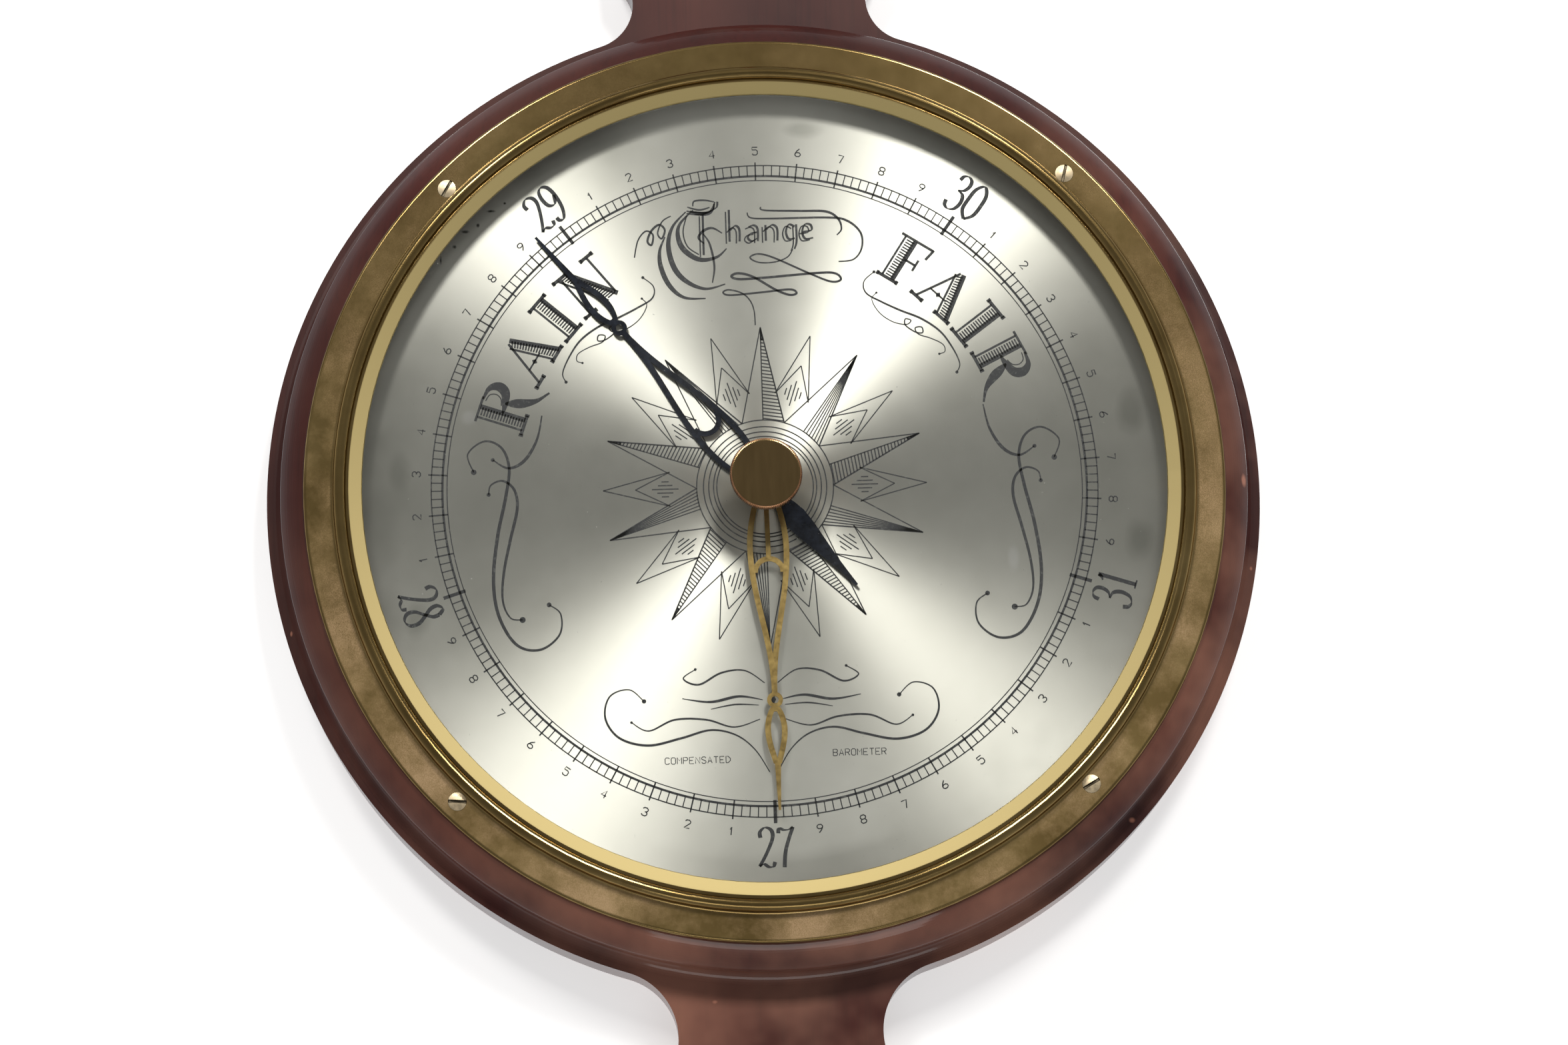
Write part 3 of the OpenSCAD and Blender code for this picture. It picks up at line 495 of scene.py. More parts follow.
def along_curve(points, steps=CURVE_STEPS):
    """A smooth curve through the points (Catmull-Rom)."""
    last = len(points) - 1
    result = []
    for i in range(last):
        p = [points[min(max(i + k - 1, 0), last)] for k in range(4)]
        for j in range(steps):
            t = j / steps
            weights = (
                -0.5 * t + t * t - 0.5 * t**3,
                1 - 2.5 * t * t + 1.5 * t**3,
                0.5 * t + 2 * t * t - 1.5 * t**3,
                -0.5 * t * t + 0.5 * t**3,
            )
            result.append(tuple(sum(w * q[k] for w, q in zip(weights, p)) for k in (0, 1)))
    result.append(points[-1])
    return result


class Print:
    """Flat ink shapes, in millimetres round a centre on a face that looks along -Y."""

    def __init__(self, name, centre=DIAL_CENTRE):
        self.name = name
        self.centre = centre
        self.points = []
        self.faces = []
        self.place = (0.0, 0.0, 0.0, 1.0)

    def at(self, x, y, angle=0.0, scale=1.0):
        """What follows is drawn from (x, y), turned clockwise by angle in degrees and scaled."""
        self.place = (x, y, math.radians(angle), scale)

    def shape(self, outline):
        x0, y0, angle, scale = self.place
        first = len(self.points)
        for x, y in outline:
            u = x0 + scale * (x * math.cos(angle) + y * math.sin(angle))
            v = y0 + scale * (y * math.cos(angle) - x * math.sin(angle))
            self.points.append(self.centre + Vector((u * MM, -INK_RISE * MM, v * MM)))
        self.faces.append(list(range(first, first + len(outline))))

    def stroke(self, line, width):
        """A ribbon along a line. width is a number or a function of (share of the line, direction)."""
        left, right = [], []
        for i, (x, y) in enumerate(line):
            ax, ay = line[max(i - 1, 0)]
            bx, by = line[min(i + 1, len(line) - 1)]
            direction = math.atan2(by - ay, bx - ax)
            w = width(i / (len(line) - 1), direction) if callable(width) else width
            dx, dy = -math.sin(direction) * w / 2, math.cos(direction) * w / 2
            left.append((x + dx, y + dy))
            right.append((x - dx, y - dy))
        for i in range(len(line) - 1):
            self.shape([right[i], right[i + 1], left[i + 1], left[i]])

    def line(self, a, b, width):
        self.stroke([a, b], width)

    def dot(self, x, y, radius, sides=14):
        turns = [2 * math.pi * i / sides for i in range(sides)]
        self.shape([(x + radius * math.cos(t), y + radius * math.sin(t)) for t in turns])

    def circle(self, radius, width, steps=360):
        turns = [2 * math.pi * i / steps for i in range(steps + 1)]
        self.stroke([(radius * math.cos(t), radius * math.sin(t)) for t in turns], width)

    def swash(self, points, thick, thin=0.22, start_ball=0.0, end_ball=0.0):
        """A pen flourish: thin at its ends, swelling in the middle, with round terminals."""
        line = along_curve(points, SWASH_STEPS)
        self.stroke(line, lambda share, _: thin + (thick - thin) * math.sin(math.pi * share) ** SWASH_SWELL)
        if start_ball:
            self.dot(*points[0], start_ball)
        if end_ball:
            self.dot(*points[-1], end_ball)

    def pen(self, points, thick, thin, nib):
        """A stroke of a broad nib held at a fixed angle, in degrees."""
        angle = math.radians(nib)
        self.stroke(
            along_curve(points),
            lambda _, direction: thin + (thick - thin) * abs(math.sin(direction - angle)),
        )

    def build(self):
        piece = make_mesh(self.name, self.points, self.faces, INK)
        solid = piece.modifiers.new("thickness", "SOLIDIFY")
        solid.thickness = INK_DEPTH * MM
        solid.offset = -1
        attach(piece, "case")


# Plain one-line letters and figures on a grid 4 wide and 6 high
GLYPHS = {
    "0": ["10 01 05 16 36 45 41 30 10"],
    "1": ["14 26 20"],
    "2": ["05 16 36 45 44 00 40"],
    "3": ["05 16 36 45 44 33 23", "33 42 41 30 10 01"],
    "4": ["30 36 02 42"],
    "5": ["46 06 04 34 43 41 30 10 01"],
    "6": ["36 14 02 01 10 30 41 42 33 13 02"],
    "7": ["06 46 20"],
    "8": ["13 04 05 16 36 45 44 33 13 02 01 10 30 41 42 33"],
    "9": ["10 32 44 45 36 16 05 04 13 33 44"],
    "A": ["00 26 40", "12 32"],
    "B": ["00 06 36 45 44 33 03", "33 42 41 30 00"],
    "C": ["45 36 16 05 01 10 30 41"],
    "D": ["00 06 26 44 42 20 00"],
    "E": ["40 00 06 46", "03 33"],
    "M": ["00 06 23 46 40"],
    "N": ["00 06 40 46"],
    "O": ["10 01 05 16 36 45 41 30 10"],
    "P": ["00 06 36 45 44 33 03"],
    "R": ["00 06 36 45 44 33 03", "23 40"],
    "S": ["45 36 16 05 04 42 41 30 10 01"],
    "T": ["20 26", "06 46"],
}
GRID_HIGH = 6.0
GRID_STEP = 5.6
GRID_GAP = 1.6


def plain_text(page, text, height, width, x=0.0, y=0.0):
    """Text centred on (x, y) of the page's present place."""
    unit = height / GRID_HIGH
    start = x - (len(text) * GRID_STEP - GRID_GAP) * unit / 2
    for i, letter in enumerate(text):
        for path in GLYPHS[letter]:
            points = [
                (start + (i * GRID_STEP + int(across)) * unit, y + (int(up) - GRID_HIGH / 2) * unit)
                for across, up in path.split()
            ]
            page.stroke(points, width)


# ---- the scale, 27 to 32 inches of mercury ----
SCALE_LOW, SCALE_INCHES = 27, 5
TURN_PER_INCH = 360 / SCALE_INCHES
TICKS_PER_INCH = 50
TICKS_PER_TENTH = 5
RING_INNER, RING_THICK, RING_OUTER = 78.9, 80.05, 82.8
INCH_TICK_IN, INCH_TICK_OUT, TENTH_TICK_OUT = 0.3, 1.5, 0.85
BIG_RADIUS, SMALL_RADIUS = 90.2, 86.6


def scale_angle(value):
    """Clockwise from the top, in degrees."""
    return 180.0 + (value - SCALE_LOW) * TURN_PER_INCH


def on_ring(radius, angle):
    turn = math.radians(angle)
    return radius * math.sin(turn), radius * math.cos(turn)


def draw_scale():
    page = Print("dial_scale")
    page.circle(RING_INNER, 0.24)
    page.circle(RING_THICK, 0.56)
    page.circle(RING_OUTER, 0.3)
    for i in range(SCALE_INCHES * TICKS_PER_INCH):
        page.at(0, 0, scale_angle(SCALE_LOW + i / TICKS_PER_INCH))
        if i % TICKS_PER_INCH == 0:
            page.line((0, RING_INNER - INCH_TICK_IN), (0, RING_OUTER + INCH_TICK_OUT), 0.85)
        elif i % TICKS_PER_TENTH == 0:
            page.line((0, RING_INNER), (0, RING_OUTER + TENTH_TICK_OUT), 0.38)
        else:
            page.line((0, RING_THICK), (0, RING_OUTER), 0.28)
    page.build()


# Big figures: pen paths in a box 0.42 wide and 1 high
BIG_FIGURES = {
    "0": [
        [(0.21, 0), (0.05, 0.2), (0.03, 0.5), (0.06, 0.82), (0.21, 1),
         (0.36, 0.82), (0.39, 0.5), (0.36, 0.2), (0.21, 0)],
    ],
    "1": [
        [(0.20, 0.02), (0.20, 0.98)],
        [(0.08, 0.84), (0.15, 0.88), (0.20, 0.97)],
        [(0.09, 0.02), (0.31, 0.02)],
    ],
    "2": [
        [(0.07, 0.74), (0.06, 0.88), (0.18, 0.99), (0.33, 0.93),
         (0.37, 0.76), (0.28, 0.50), (0.14, 0.22), (0.03, 0.04)],
        [(0.03, 0.04), (0.14, 0.09), (0.26, 0.02), (0.37, 0.03), (0.41, 0.14)],
    ],
    "3": [
        [(0.06, 0.80), (0.09, 0.93), (0.20, 0.99), (0.32, 0.93), (0.35, 0.78), (0.29, 0.62), (0.16, 0.55)],
        [(0.16, 0.55), (0.32, 0.50), (0.39, 0.31), (0.34, 0.09), (0.20, 0.0), (0.08, 0.05), (0.04, 0.18)],
    ],
    "7": [
        [(0.04, 0.84), (0.06, 0.96), (0.18, 0.92), (0.30, 0.93), (0.40, 0.99)],
        [(0.40, 0.99), (0.28, 0.66), (0.20, 0.36), (0.17, 0.0)],
    ],
    "8": [
        [(0.33, 0.86), (0.22, 0.99), (0.10, 0.88), (0.12, 0.70), (0.24, 0.53), (0.37, 0.32), (0.36, 0.10),
         (0.21, 0.0), (0.06, 0.10), (0.06, 0.30), (0.20, 0.50), (0.33, 0.70), (0.33, 0.86)],
    ],
    "9": [
        [(0.36, 0.66), (0.25, 0.46), (0.10, 0.50), (0.05, 0.70), (0.09, 0.92), (0.21, 1.0),
         (0.34, 0.90), (0.38, 0.62), (0.33, 0.26), (0.20, 0.02), (0.08, 0.04), (0.06, 0.14)],
    ],
}
BIG_HEIGHT, BIG_THICK, BIG_THIN = 10.0, 0.1, 0.026
BIG_PLACES = (-0.45, 0.02)
BIG_NIB = 12
SMALL_HEIGHT = 2.0
# These inches, and the tenths below and above the others, have their feet outwards
FEET_OUT = (27, 28, 31)


def draw_numerals():
    page = Print("dial_numerals")
    for value in range(SCALE_LOW, SCALE_LOW + SCALE_INCHES):
        angle = scale_angle(value)
        turn = angle + 180 if value in FEET_OUT else angle
        page.at(*on_ring(BIG_RADIUS, angle), turn, BIG_HEIGHT)
        for digit, shift in zip(str(value), BIG_PLACES):
            for path in BIG_FIGURES[digit]:
                moved = [(x + shift, y - 0.5) for x, y in path]
                page.pen(moved, BIG_THICK, BIG_THIN, BIG_NIB)
    for tenth in range(1, 10 * SCALE_INCHES):
        if tenth % 10 == 0:
            continue
        value = SCALE_LOW + tenth / 10
        angle = scale_angle(value)
        turn = angle + 180 if value < FEET_OUT[1] or value > FEET_OUT[2] else angle
        page.at(*on_ring(SMALL_RADIUS, angle), turn)
        plain_text(page, str(tenth % 10), SMALL_HEIGHT, 0.3)
    page.build()


# ---- star ----
STAR_POINTS = 10
STAR_TIP, STAR_HUB = 40.8, 17.0
HUB_RINGS = (STAR_HUB, 15.3, 14.0, 12.8, 12.0)
SIDE_TIP, SIDE_INNER, SIDE_VALLEY = 40.2, 32.2, 24.0
SIDE_VALLEY_ANGLE = 10.4
INKED_TIP = 3.4
STRIPES, VEINS = 27, 6
VEIN_END = 0.94
# The short marks in a side point: half their lengths, their spacing, and the height of their middle
MARKS = (0.9, 2.0, 3.3, 1.8, 0.9)
MARK_STEP, MARK_HEIGHT = 0.95, 24.8


def between(a, b, share):
    return a[0] + (b[0] - a[0]) * share, a[1] + (b[1] - a[1]) * share


def draw_star():
    page = Print("dial_star")
    half = 180.0 / STAR_POINTS
    for radius in HUB_RINGS:
        page.circle(radius, 0.3, 180)
    tip, root = (0, STAR_TIP), (0, STAR_HUB)
    left, right = on_ring(STAR_HUB, -half), on_ring(STAR_HUB, half)
    for i in range(STAR_POINTS):
        page.at(0, 0, i * 2 * half)
        page.line(tip, left, 0.3)
        page.line(tip, right, 0.36)
        page.line(tip, root, 0.3)
        page.shape([(-0.12, STAR_TIP - INKED_TIP), (0.75, STAR_TIP - INKED_TIP), (0, STAR_TIP + 0.3)])
        if i % 2 == 0:
            for k in range(STRIPES):
                share = (k + 0.5) / STRIPES
                page.line(between(root, tip, share), between(right, tip, share), 0.3)
        else:
            for k in range(1, VEINS):
                foot = between(root, right, k / VEINS)
                page.line(foot, between(foot, tip, VEIN_END), 0.28)
        page.at(0, 0, (2 * i + 1) * half)
        for side in (-1, 1):
            valley = on_ring(SIDE_VALLEY, side * SIDE_VALLEY_ANGLE)
            page.line((0, SIDE_TIP), valley, 0.28)
            page.line((0, SIDE_INNER), valley, 0.28)
        for k, reach in enumerate(MARKS):
            x = (k - 2) * MARK_STEP
            page.line((x, MARK_HEIGHT - reach), (x, MARK_HEIGHT + reach), 0.3)
    page.build()


# ---- words: capitals in a box 1 high, turned round the dial ----
WORD_HEIGHT = 12.4
WORD_RADIUS = 61.6
SPACING = 0.058
LEFT_EDGE, RIGHT_EDGE, RULE = 0.045, 0.10, 0.031
RULE_START = 0.22


def hatched(page, foot_left, foot_right, head_left, head_right):
    """A stem: fine left edge, heavy right edge and rules across it."""
    page.line(foot_left, head_left, LEFT_EDGE)
    page.line(foot_right, head_right, RIGHT_EDGE)
    height = math.dist(foot_right, head_right)
    count = int(height / SPACING)
    for k in range(1, count):
        a = between(foot_left, head_left, k / count)
        b = between(foot_right, head_right, k / count)
        page.line(between(a, b, RULE_START), b, RULE)


def serif(page, x, y, half_width):
    """A slab with a block at each end."""
    page.stroke([(x - half_width, y), (x, y), (x + half_width, y)], 0.07)
    for side in (-half_width, half_width):
        page.line((x + side, y - 0.045), (x + side, y + 0.045), 0.06)


def letter_i(page):
    hatched(page, (-0.12, 0.03), (0.12, 0.03), (-0.12, 0.97), (0.12, 0.97))
    serif(page, 0, 0.02, 0.23)
    serif(page, 0, 0.98, 0.23)


def letter_r(page):
    hatched(page, (-0.36, 0.03), (-0.14, 0.03), (-0.36, 0.97), (-0.14, 0.97))
    serif(page, -0.25, 0.02, 0.21)
    page.line((-0.46, 0.98), (0.08, 0.98), 0.05)
    bowl = [(0.02, 0.97), (0.26, 0.92), (0.36, 0.75), (0.27, 0.58), (0.0, 0.51), (-0.14, 0.51)]
    page.stroke(along_curve(bowl), lambda share, _: 0.05 + 0.15 * math.sin(math.pi * share) ** 2)
    inner = [(0.0, 0.91), (0.14, 0.87), (0.19, 0.75), (0.13, 0.63), (0.0, 0.58)]
    page.stroke(along_curve(inner), 0.022)
    leg = [(0.06, 0.52), (0.12, 0.34), (0.19, 0.14), (0.32, -0.08), (0.54, -0.26)]
    page.stroke(along_curve(leg), lambda share, _: 0.04 + 0.15 * math.sin(math.pi * share ** 0.7) ** 2)


def letter_a(page):
    page.line((-0.40, 0.03), (-0.02, 0.97), 0.05)
    hatched(page, (0.16, 0.03), (0.40, 0.03), (-0.09, 0.90), (0.05, 0.99))
    page.line((-0.28, 0.33), (0.14, 0.33), 0.035)
    page.shape([(-0.07, 0.27), (-0.01, 0.33), (-0.07, 0.39), (-0.13, 0.33)])
    serif(page, -0.38, 0.02, 0.14)
    serif(page, 0.29, 0.02, 0.18)


def letter_n(page):
    page.line((-0.33, 0.03), (-0.33, 0.95), 0.05)
    page.line((0.36, 0.05), (0.36, 0.97), 0.05)
    hatched(page, (0.13, 0.0), (0.37, 0.0), (-0.40, 0.97), (-0.17, 0.97))
    serif(page, -0.33, 0.02, 0.14)
    serif(page, -0.34, 0.98, 0.16)
    serif(page, 0.36, 0.98, 0.14)


def letter_f(page):
    hatched(page, (-0.28, 0.03), (-0.05, 0.03), (-0.28, 0.97), (-0.05, 0.97))
    serif(page, -0.16, 0.02, 0.22)
    page.line((-0.38, 0.98), (0.36, 0.98), 0.055)
    page.line((0.36, 1.0), (0.31, 0.74), 0.055)
    page.line((-0.06, 0.53), (0.20, 0.53), 0.05)
    page.line((0.20, 0.66), (0.20, 0.40), 0.05)


def draw_word(page, letters):
    for letter, angle in letters:
        x, y = on_ring(WORD_RADIUS, angle)
        page.at(x, y, angle, WORD_HEIGHT)
        letter(page)


RAIN = ((letter_r, -71), (letter_a, -58.6), (letter_i, -49.0), (letter_n, -39.2))
FAIR = ((letter_f, 33.2), (letter_a, 43.8), (letter_i, 53.4), (letter_r, 63.4))
# "Change", written with a two-line nib: each stroke's points, in millimetres
CHANGE = [
    [(-7.4, 71.2), (-7.4, 62.9)],
    [(-7.2, 65.8), (-5.9, 67.0), (-4.9, 66.0), (-4.9, 62.9)],
    [(-2.6, 66.6), (-1.2, 67.0), (-0.3, 66.0), (-0.3, 62.9)],
    [(-0.5, 65.2), (-2.2, 64.8), (-2.8, 63.7), (-1.8, 62.9), (-0.5, 63.6)],
    [(1.7, 67.0), (1.7, 62.9)],
    [(1.9, 65.8), (3.4, 67.0), (4.6, 66.0), (4.6, 62.9)],
    [(9.0, 66.4), (7.6, 67.0), (6.8, 65.2), (7.4, 63.3), (9.0, 63.4)],
    [(9.4, 67.0), (9.4, 62.6), (8.8, 60.6)],
    [(11.0, 65.0), (13.2, 65.4), (13.0, 66.8), (11.6, 66.9), (10.9, 65.0), (11.6, 63.2), (13.6, 63.4)],
    [(-14.0, 70.2), (-14.0, 59.6)],
    [(-17.2, 71.0), (-13.4, 70.6), (-10.6, 71.8), (-10.2, 73.4)],
]


NIB_ANGLE = 35
NIB_THIN = 0.3
NIB_RISE = 0.6
# The nib's two lines: how far each is shifted, and its greatest width
NIB_LINES = ((-0.42, 0.38), (0.42, 0.62))
SMALL_CAPITALS = 1.6


def draw_words():
    page = Print("dial_words")
    draw_word(page, RAIN)
    draw_word(page, FAIR)
    page.at(0, 0)
    for stroke in CHANGE:
        for shift, thick in NIB_LINES:
            moved = [(x + shift, y + shift * NIB_RISE) for x, y in stroke]
            page.pen(moved, thick, NIB_THIN, NIB_ANGLE)
    plain_text(page, "COMPENSATED", SMALL_CAPITALS, 0.2, -18.6, -68.2)
    plain_text(page, "BAROMETER", SMALL_CAPITALS, 0.2, 21.2, -67.2)
    page.build()


# ---- scrolls: flourishes ----
LONG_SCROLL = [
    (-72.2, 5.6), (-73.6, 10.2), (-69.4, 13.4), (-65.2, 11.6), (-63.4, 6.4), (-64.4, -1.0),
    (-66.6, -11.0), (-67.8, -22.0), (-66.6, -31.0), (-62.4, -38.2), (-56.6, -39.6), (-51.8, -36.0),
    (-51.4, -30.8), (-54.2, -28.4),
]
INNER_SCROLL = [
    (-60.8, -32.0), (-63.8, -31.4), (-65.6, -27.0), (-65.2, -20.0), (-63.4, -11.6), (-61.6, -4.0),
    (-62.2, 0.8), (-65.0, 3.2), (-68.0, 2.2), (-68.6, -0.2),
]
TAIL_SCROLL = [(-55.0, 19.6), (-56.4, 13.4), (-59.6, 8.2), (-63.6, 6.4), (-67.4, 8.6)]
WORD_SCROLL = [
    (-29.0, 54.4), (-26.4, 52.0), (-26.8, 49.0), (-30.6, 46.6), (-35.4, 44.2), (-40.4, 42.0), (-45.0, 38.6),
    (-48.0, 34.2), (-49.6, 30.2), (-48.8, 28.0),
]
WORD_SCROLL_LOOP = [
    (-29.4, 49.0), (-28.2, 47.2), (-30.0, 43.8), (-33.2, 41.4), (-36.6, 40.6), (-37.8, 41.6), (-36.4, 42.0),
    (-36.4, 40.4), (-38.8, 38.6), (-40.6, 38.4), (-40.4, 39.8), (-38.8, 39.6), (-39.6, 38.0), (-42.8, 36.8),
    (-45.6, 35.2), (-46.0, 33.4), (-44.6, 32.8),
]
FOOT_SCROLL = [
    (31.4, -53.2), (35.0, -50.2), (39.8, -51.8), (41.0, -57.2), (37.6, -62.2), (30.6, -64.2), (22.4, -62.6),
    (15.2, -60.8), (9.0, -62.2), (4.4, -66.0), (1.0, -71.6),
]
FOOT_RIBBON = [(3.0, -58.4), (9.4, -60.2), (16.2, -58.2), (24.0, -58.0), (30.4, -60.6), (34.6, -58.4)]
TOP_RIBBON = [(1.6, -49.4), (6.4, -46.2), (12.2, -46.6), (17.8, -49.4), (21.6, -47.8), (18.6, -45.6)]
# Drawn on the left and the right: points, greatest and least width, radii of the start and end balls
MIRRORED_SCROLLS = [
    (LONG_SCROLL, 0.85, 0.3, 0.7, 0.6),
    (INNER_SCROLL, 0.75, 0.28, 0.75, 0.5),
    (TAIL_SCROLL, 0.8, 0.3, 0, 0.5),
    (WORD_SCROLL, 0.55, 0.25, 0.4, 0.4),
    (WORD_SCROLL_LOOP, 0.35, 0.22, 0.3, 0.3),
    (FOOT_SCROLL, 0.6, 0.24, 0.55, 0),
    (FOOT_RIBBON, 0.5, 0.24, 0, 0.35),
    (TOP_RIBBON, 0.5, 0.24, 0, 0.35),
]
# Round the word "Change": the points of each line and its weight
CHANGE_SCROLLS = [
    ([(8.8, 60.8), (7.4, 58.8), (4.2, 57.6), (0.2, 57.6), (-2.0, 58.9), (0.2, 59.8), (4.2, 58.6),
      (12.4, 54.6), (18.0, 52.2), (20.6, 52.6), (19.4, 54.2), (15.2, 54.5), (1.4, 53.6), (-5.0, 53.4),
      (-6.8, 54.2), (-5.0, 54.9), (-1.4, 53.9), (4.2, 50.4), (7.6, 49.0), (9.4, 49.4), (7.8, 50.4),
      (1.4, 49.9), (-7.0, 49.3), (-9.0, 50.0), (-7.6, 50.7), (-4.4, 49.8), (-2.4, 47.9), (-1.4, 45.2),
      (-1.2, 41.4)], 0.55),
    ([(-2.4, 70.6), (-1.4, 69.2), (4.2, 68.9), (18.0, 68.8), (22.8, 67.8), (26.0, 64.6), (26.1, 60.6),
      (24.0, 57.8), (20.2, 57.3)], 0.5),
    ([(1.0, 72.0), (2.0, 71.1), (11.0, 70.7), (17.4, 70.4), (20.4, 68.5), (21.2, 65.8), (20.0, 64.2)], 0.55),
    ([(-17.8, 71.2), (-21.2, 67.4), (-22.4, 62.6), (-21.2, 57.0), (-18.2, 53.2), (-13.4, 51.1),
      (-8.4, 52.2)], 1.2),
    ([(-23.2, 64.8), (-24.6, 61.2), (-24.4, 57.0), (-22.4, 52.2), (-18.8, 49.0), (-13.4, 48.6)], 1.1),
    ([(-16.0, 71.6), (-19.4, 68.0), (-19.9, 64.6), (-18.4, 61.2), (-14.6, 58.7), (-10.4, 59.2),
      (-7.8, 61.4)], 1.2),
    ([(-17.6, 70.2), (-18.6, 66.0), (-17.6, 62.2), (-14.8, 60.0)], 0.3),
    ([(-8.8, 65.4), (-11.2, 66.8), (-13.4, 66.2), (-14.8, 64.4), (-13.4, 62.8)], 0.6),
    ([(-13.6, 65.4), (-12.0, 62.6), (-11.0, 57.0), (-11.6, 52.6)], 0.5),
    ([(-17.6, 71.4), (-14.4, 70.6), (-11.6, 71.0), (-10.4, 73.6)], 0.9),
    ([(-17.4, 72.4), (-14.4, 71.6), (-11.8, 72.2)], 0.4),
    ([(-16.0, 72.6), (-15.6, 73.9), (-13.0, 74.1), (-10.6, 73.6)], 0.4),
    ([(-31.0, 59.6), (-30.0, 64.0), (-28.0, 66.4), (-26.2, 65.4), (-26.6, 62.8), (-27.6, 63.8),
      (-26.6, 66.4), (-24.6, 68.0), (-23.2, 66.6), (-24.0, 64.4), (-25.0, 65.8), (-23.8, 68.8),
      (-21.6, 70.2)], 0.5),
]
CHANGE_WEIGHT, CHANGE_THIN = 1.15, 0.32
# The plain ornament at the foot: a lozenge, and two lines on each side of it
LOZENGE = [(0, -55.6), (1.1, -53.6), (0, -51.6), (-1.1, -53.6)]
UPPER_LINE = [(2.2, -53.6), (8, -52.6), (15, -53.8), (22, -52.8)]
LOWER_LINE = [(3.2, -54.9), (9, -54.6), (15, -55.6)]


def mirrored(points, side):
    return [(side * x, y) for x, y in points]


def draw_scrolls():
    page = Print("dial_scrolls")
    for side in (1, -1):
        for points, *widths in MIRRORED_SCROLLS:
            page.swash(mirrored(points, side), *widths)
    for points, weight in CHANGE_SCROLLS:
        page.swash(points, weight * CHANGE_WEIGHT, CHANGE_THIN)
    page.shape(LOZENGE)
    for side in (-1, 1):
        page.swash(mirrored(UPPER_LINE, side), 0.7, 0.2)
        page.swash(mirrored(LOWER_LINE, side), 0.4, 0.18)
    page.build()


# ---------------------------------------------------------------- thermometer print
DEGREE_FOOT, DEGREE_STEP, DEGREES = -34.0, 0.62, 120
TUBE_CLEAR, LEFT_TICK_END = 3.6, 5.4
DEGREE_NUMBER_X, DEGREE_NUMBER_HIGH = 10.6, 2.4
BORDER_X, BORDER_Y = 12.8, 57.2
# How long a degree's tick is: every 20, every 10, and the others
TICK_LONG, TICK_MIDDLE, TICK_SHORT = 4.2, 3.0, 1.8


def draw_thermometer():
    low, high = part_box("thermometer_plate")
    centre = Vector(((low.x + high.x) / 2, low.y, (low.z + high.z) / 2))
    page = Print("thermometer_scale", centre)
    for degree in range(0, DEGREES + 1, 2):
        y = DEGREE_FOOT + DEGREE_STEP * degree
        reach = TICK_LONG if degree % 20 == 0 else TICK_MIDDLE if degree % 10 == 0 else TICK_SHORT
        page.line((TUBE_CLEAR, y), (TUBE_CLEAR + reach, y), 0.22)
        if degree % 20 == 0:
            page.line((-TUBE_CLEAR, y), (-LEFT_TICK_END, y), 0.22)
            plain_text(page, str(degree), DEGREE_NUMBER_HIGH, 0.28, DEGREE_NUMBER_X, y)
    page.line((TUBE_CLEAR, DEGREE_FOOT), (TUBE_CLEAR, DEGREE_FOOT + DEGREES * DEGREE_STEP), 0.22)
    for side in (-1, 1):
        page.line((side * BORDER_X, -BORDER_Y), (side * BORDER_X, BORDER_Y), 0.25)
        page.line((-BORDER_X, side * BORDER_Y), (BORDER_X, side * BORDER_Y), 0.25)
    page.build()


# ---------------------------------------------------------------- knob
KNOB_SEGMENTS = 360
KNOB_TEETH = 120
KNURL_DEPTH = 0.14
# The knob's outline in millimetres: its foot as (radius, height above the foot's end), and the
# rest as (distance in from the greatest radius, depth under the top)
KNOB_FOOT = [(1.52, 0), (3.4, 0), (3.4, 1.2), (3.0, 2.6), (3.9, 4.6)]
KNOB_FLARE = [(0.9, 2.9)]
KNOB_EDGE = [(0.35, 2.7), (0.12, 2.4), (0.12, 0.35), (0.35, 0.1)]
KNOB_CAP = [(0.5, 0.02), (0.9, 0)]


def build_knob():
    """The turned knob: a flat polished cap, its knurled copper edge, and a waisted foot."""
    low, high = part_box("set_knob")
    cap_radius = (high.x - low.x) / 2
    top = DIAL_Y - low.y
    foot = DIAL_Y - high.y

    def from_top(outline, depth=0.0):
        return [(cap_radius - inset * MM, top - down * MM, depth * MM) for inset, down in outline]

    under = [(radius * MM, foot + up * MM, 0.0) for radius, up in KNOB_FOOT] + from_top(KNOB_FLARE)
    rings = under + from_top(KNOB_EDGE, KNURL_DEPTH) + from_top(KNOB_CAP)
    vertices, faces = [], []
    for radius, height, depth in rings:
        for i in range(KNOB_SEGMENTS):
            turn = 2 * math.pi * i / KNOB_SEGMENTS
            reach = radius + depth * math.cos(turn * KNOB_TEETH)
            vertices.append(dial_point(reach * math.cos(turn), reach * math.sin(turn), height))
    for k in range(len(rings) - 1):
        here, above = k * KNOB_SEGMENTS, (k + 1) * KNOB_SEGMENTS
        for i in range(KNOB_SEGMENTS):
            j = (i + 1) % KNOB_SEGMENTS
            faces.append([here + i, here + j, above + j, above + i])
    faces.append([(len(rings) - 1) * KNOB_SEGMENTS + i for i in range(KNOB_SEGMENTS)])
    faces.append([KNOB_SEGMENTS - 1 - i for i in range(KNOB_SEGMENTS)])
    knob = make_mesh("set_knob_turned", vertices, faces, MATERIALS["bronzed_cap"], smooth=True)
    knob.data.materials.append(COPPER)
    first_edge = (len(under) - 1) * KNOB_SEGMENTS
    last_edge = (len(under) + len(KNOB_EDGE)) * KNOB_SEGMENTS
    for polygon in knob.data.polygons:
        if first_edge <= polygon.index < last_edge:
            polygon.material_index = 1
    for flat_end in (-1, -2):
        knob.data.polygons[flat_end].use_smooth = False
    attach(knob, "set_hand")
    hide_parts("set_knob")


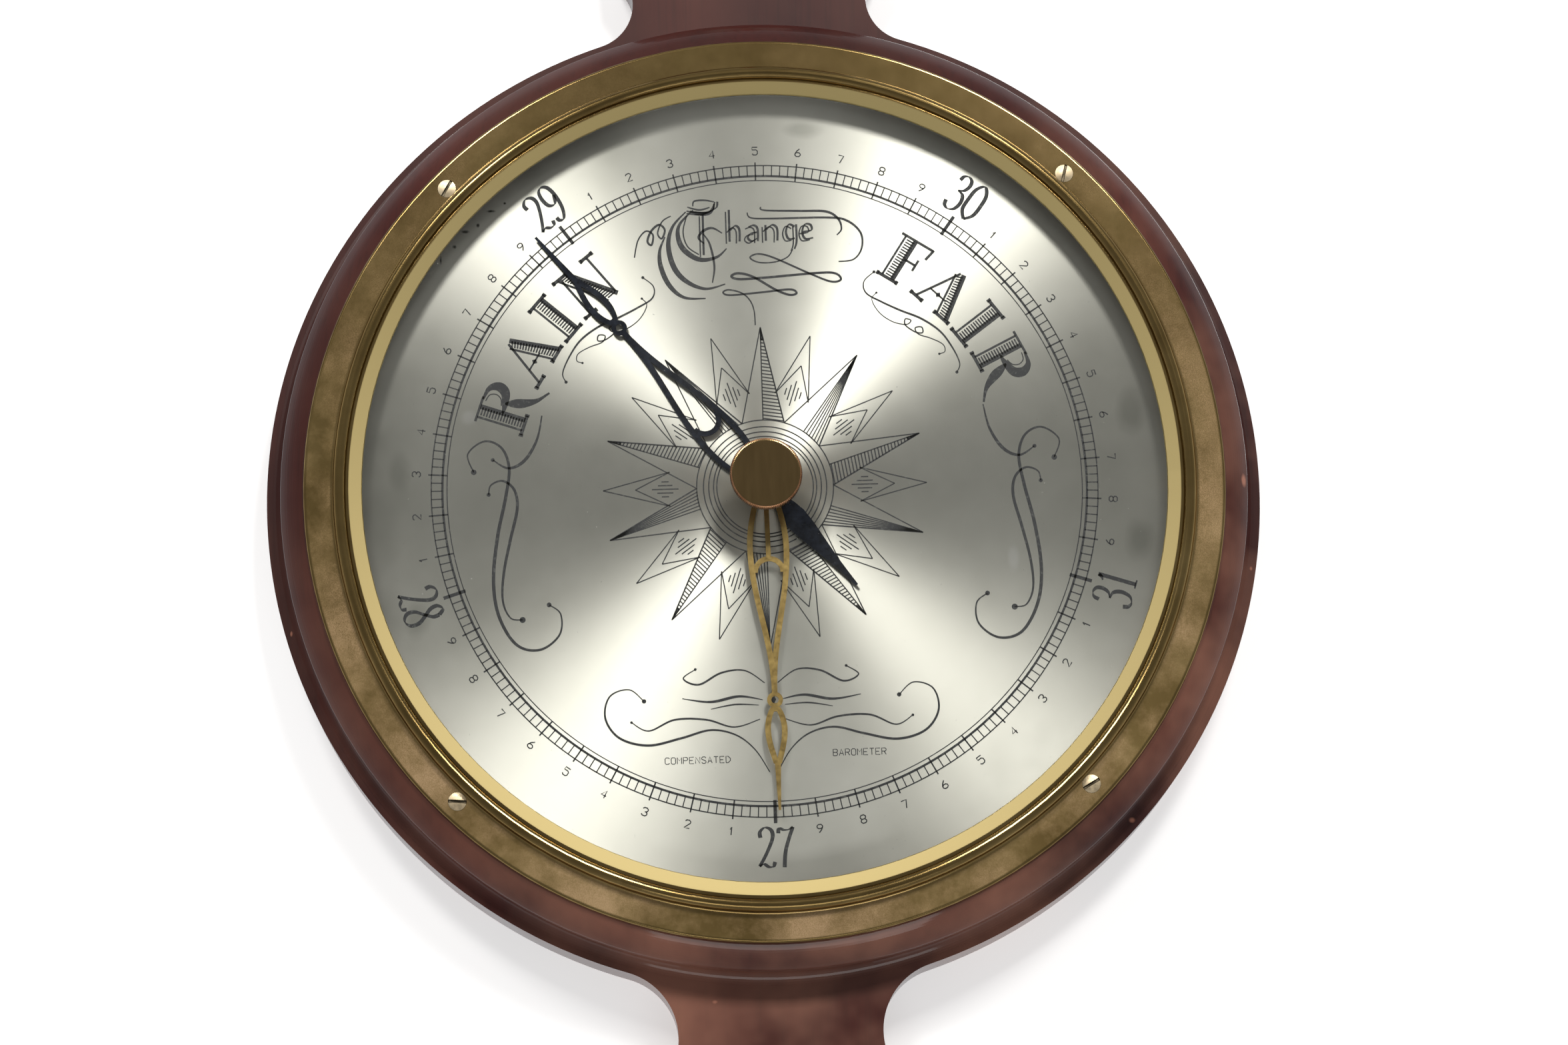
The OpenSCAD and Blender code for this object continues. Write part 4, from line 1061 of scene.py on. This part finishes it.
# ---------------------------------------------------------------- stage
FLOOR_REACH = 6.0
FLOOR_GAP = 0.0004
FLOOR_GLOW = 0.5


def make_floor():
    """A white sheet behind the case, which only the camera sees, and from the front only."""
    corners = [
        (side * FLOOR_REACH, FLOOR_GAP, up * FLOOR_REACH) for side, up in ((-1, -1), (1, -1), (1, 1), (-1, 1))
    ]
    material, tree, shader = new_material("white_table")
    tone = noise(tree, position(tree), 5, 3)
    colour = ramp(tree, tone, [(0.3, (0.86, 0.855, 0.865)), (0.7, (0.90, 0.895, 0.905))])
    link(tree, colour, shader.inputs["Base Color"])
    shader.inputs["Roughness"].default_value = 0.35
    shader.inputs["Emission Color"].default_value = (1, 1, 1, 1)
    shader.inputs["Emission Strength"].default_value = FLOOR_GLOW
    clear = add(tree, "ShaderNodeBsdfTransparent")
    choose = add(tree, "ShaderNodeMixShader")
    link(tree, add(tree, "ShaderNodeNewGeometry").outputs["Backfacing"], choose.inputs["Fac"])
    link(tree, shader.outputs[0], choose.inputs[1])
    link(tree, clear.outputs[0], choose.inputs[2])
    link(tree, choose.outputs[0], tree.nodes["Material Output"].inputs["Surface"])
    floor = make_mesh("table", corners, [(0, 1, 2, 3)], material)
    for ray in ("visible_diffuse", "visible_glossy", "visible_transmission", "visible_shadow"):
        setattr(floor, ray, False)


KEY_TINT = (1.0, 0.985, 0.95)
WHITE = (1, 1, 1)
# Above the dial: name, place from the dial's centre, width and height, watts, colour
DIAL_LIGHTS = [
    ("key_right", (0.45, 1.00, 1.46), (0.34, 0.34), 14.0, KEY_TINT),
    ("key_left", (-0.49, 1.00, 1.45), (0.34, 0.34), 10.5, KEY_TINT),
    ("low_fill", (0.1, -1.5, 1.3), (1.2, 0.5), 5, WHITE),
]
BACK_LIGHT_PLACE, BACK_LIGHT_AIM = Vector((0.9, 1.8, 0.9)), Vector((0, 0, -0.25))
# The surroundings, from before the dial (0) to behind the case (1)
SKY = [
    (0.0, (0.19, 0.19, 0.185)),
    (0.2, (0.23, 0.23, 0.225)),
    (0.45, (0.34, 0.34, 0.34)),
    (0.55, (0.70, 0.70, 0.71)),
]


def area_light(name, place, target, size, power, colour):
    data = bpy.data.lights.new(name, "AREA")
    data.shape = "RECTANGLE"
    data.size, data.size_y = size
    data.energy = power
    data.color = colour
    lamp = bpy.data.objects.new(name, data)
    lamp.location = place
    lamp.rotation_euler = (target - place).to_track_quat("-Z", "Y").to_euler()
    bpy.context.scene.collection.objects.link(lamp)


def make_lights():
    for name, place, size, power, colour in DIAL_LIGHTS:
        area_light(name, dial_point(*place), DIAL_CENTRE, size, power, colour)
    area_light("back_fill", BACK_LIGHT_PLACE, BACK_LIGHT_AIM, (1.5, 1.5), 14, WHITE)


def make_surroundings():
    world = bpy.data.worlds.new("studio")
    world.use_nodes = True
    tree = world.node_tree
    split = add(tree, "ShaderNodeSeparateXYZ")
    link(tree, add(tree, "ShaderNodeTexCoord").outputs["Generated"], split.inputs[0])
    backward = math_node(tree, "ADD", math_node(tree, "MULTIPLY", split.outputs["Y"], 0.5), 0.5)
    link(tree, ramp(tree, backward, SKY), tree.nodes["Background"].inputs["Color"])
    bpy.context.scene.world = world


make_camera()
dress_cad()
draw_scale()
draw_numerals()
draw_star()
draw_words()
draw_scrolls()
draw_thermometer()
build_knob()
make_floor()
make_lights()
make_surroundings()

bpy.context.scene.view_settings.view_transform = "Standard"
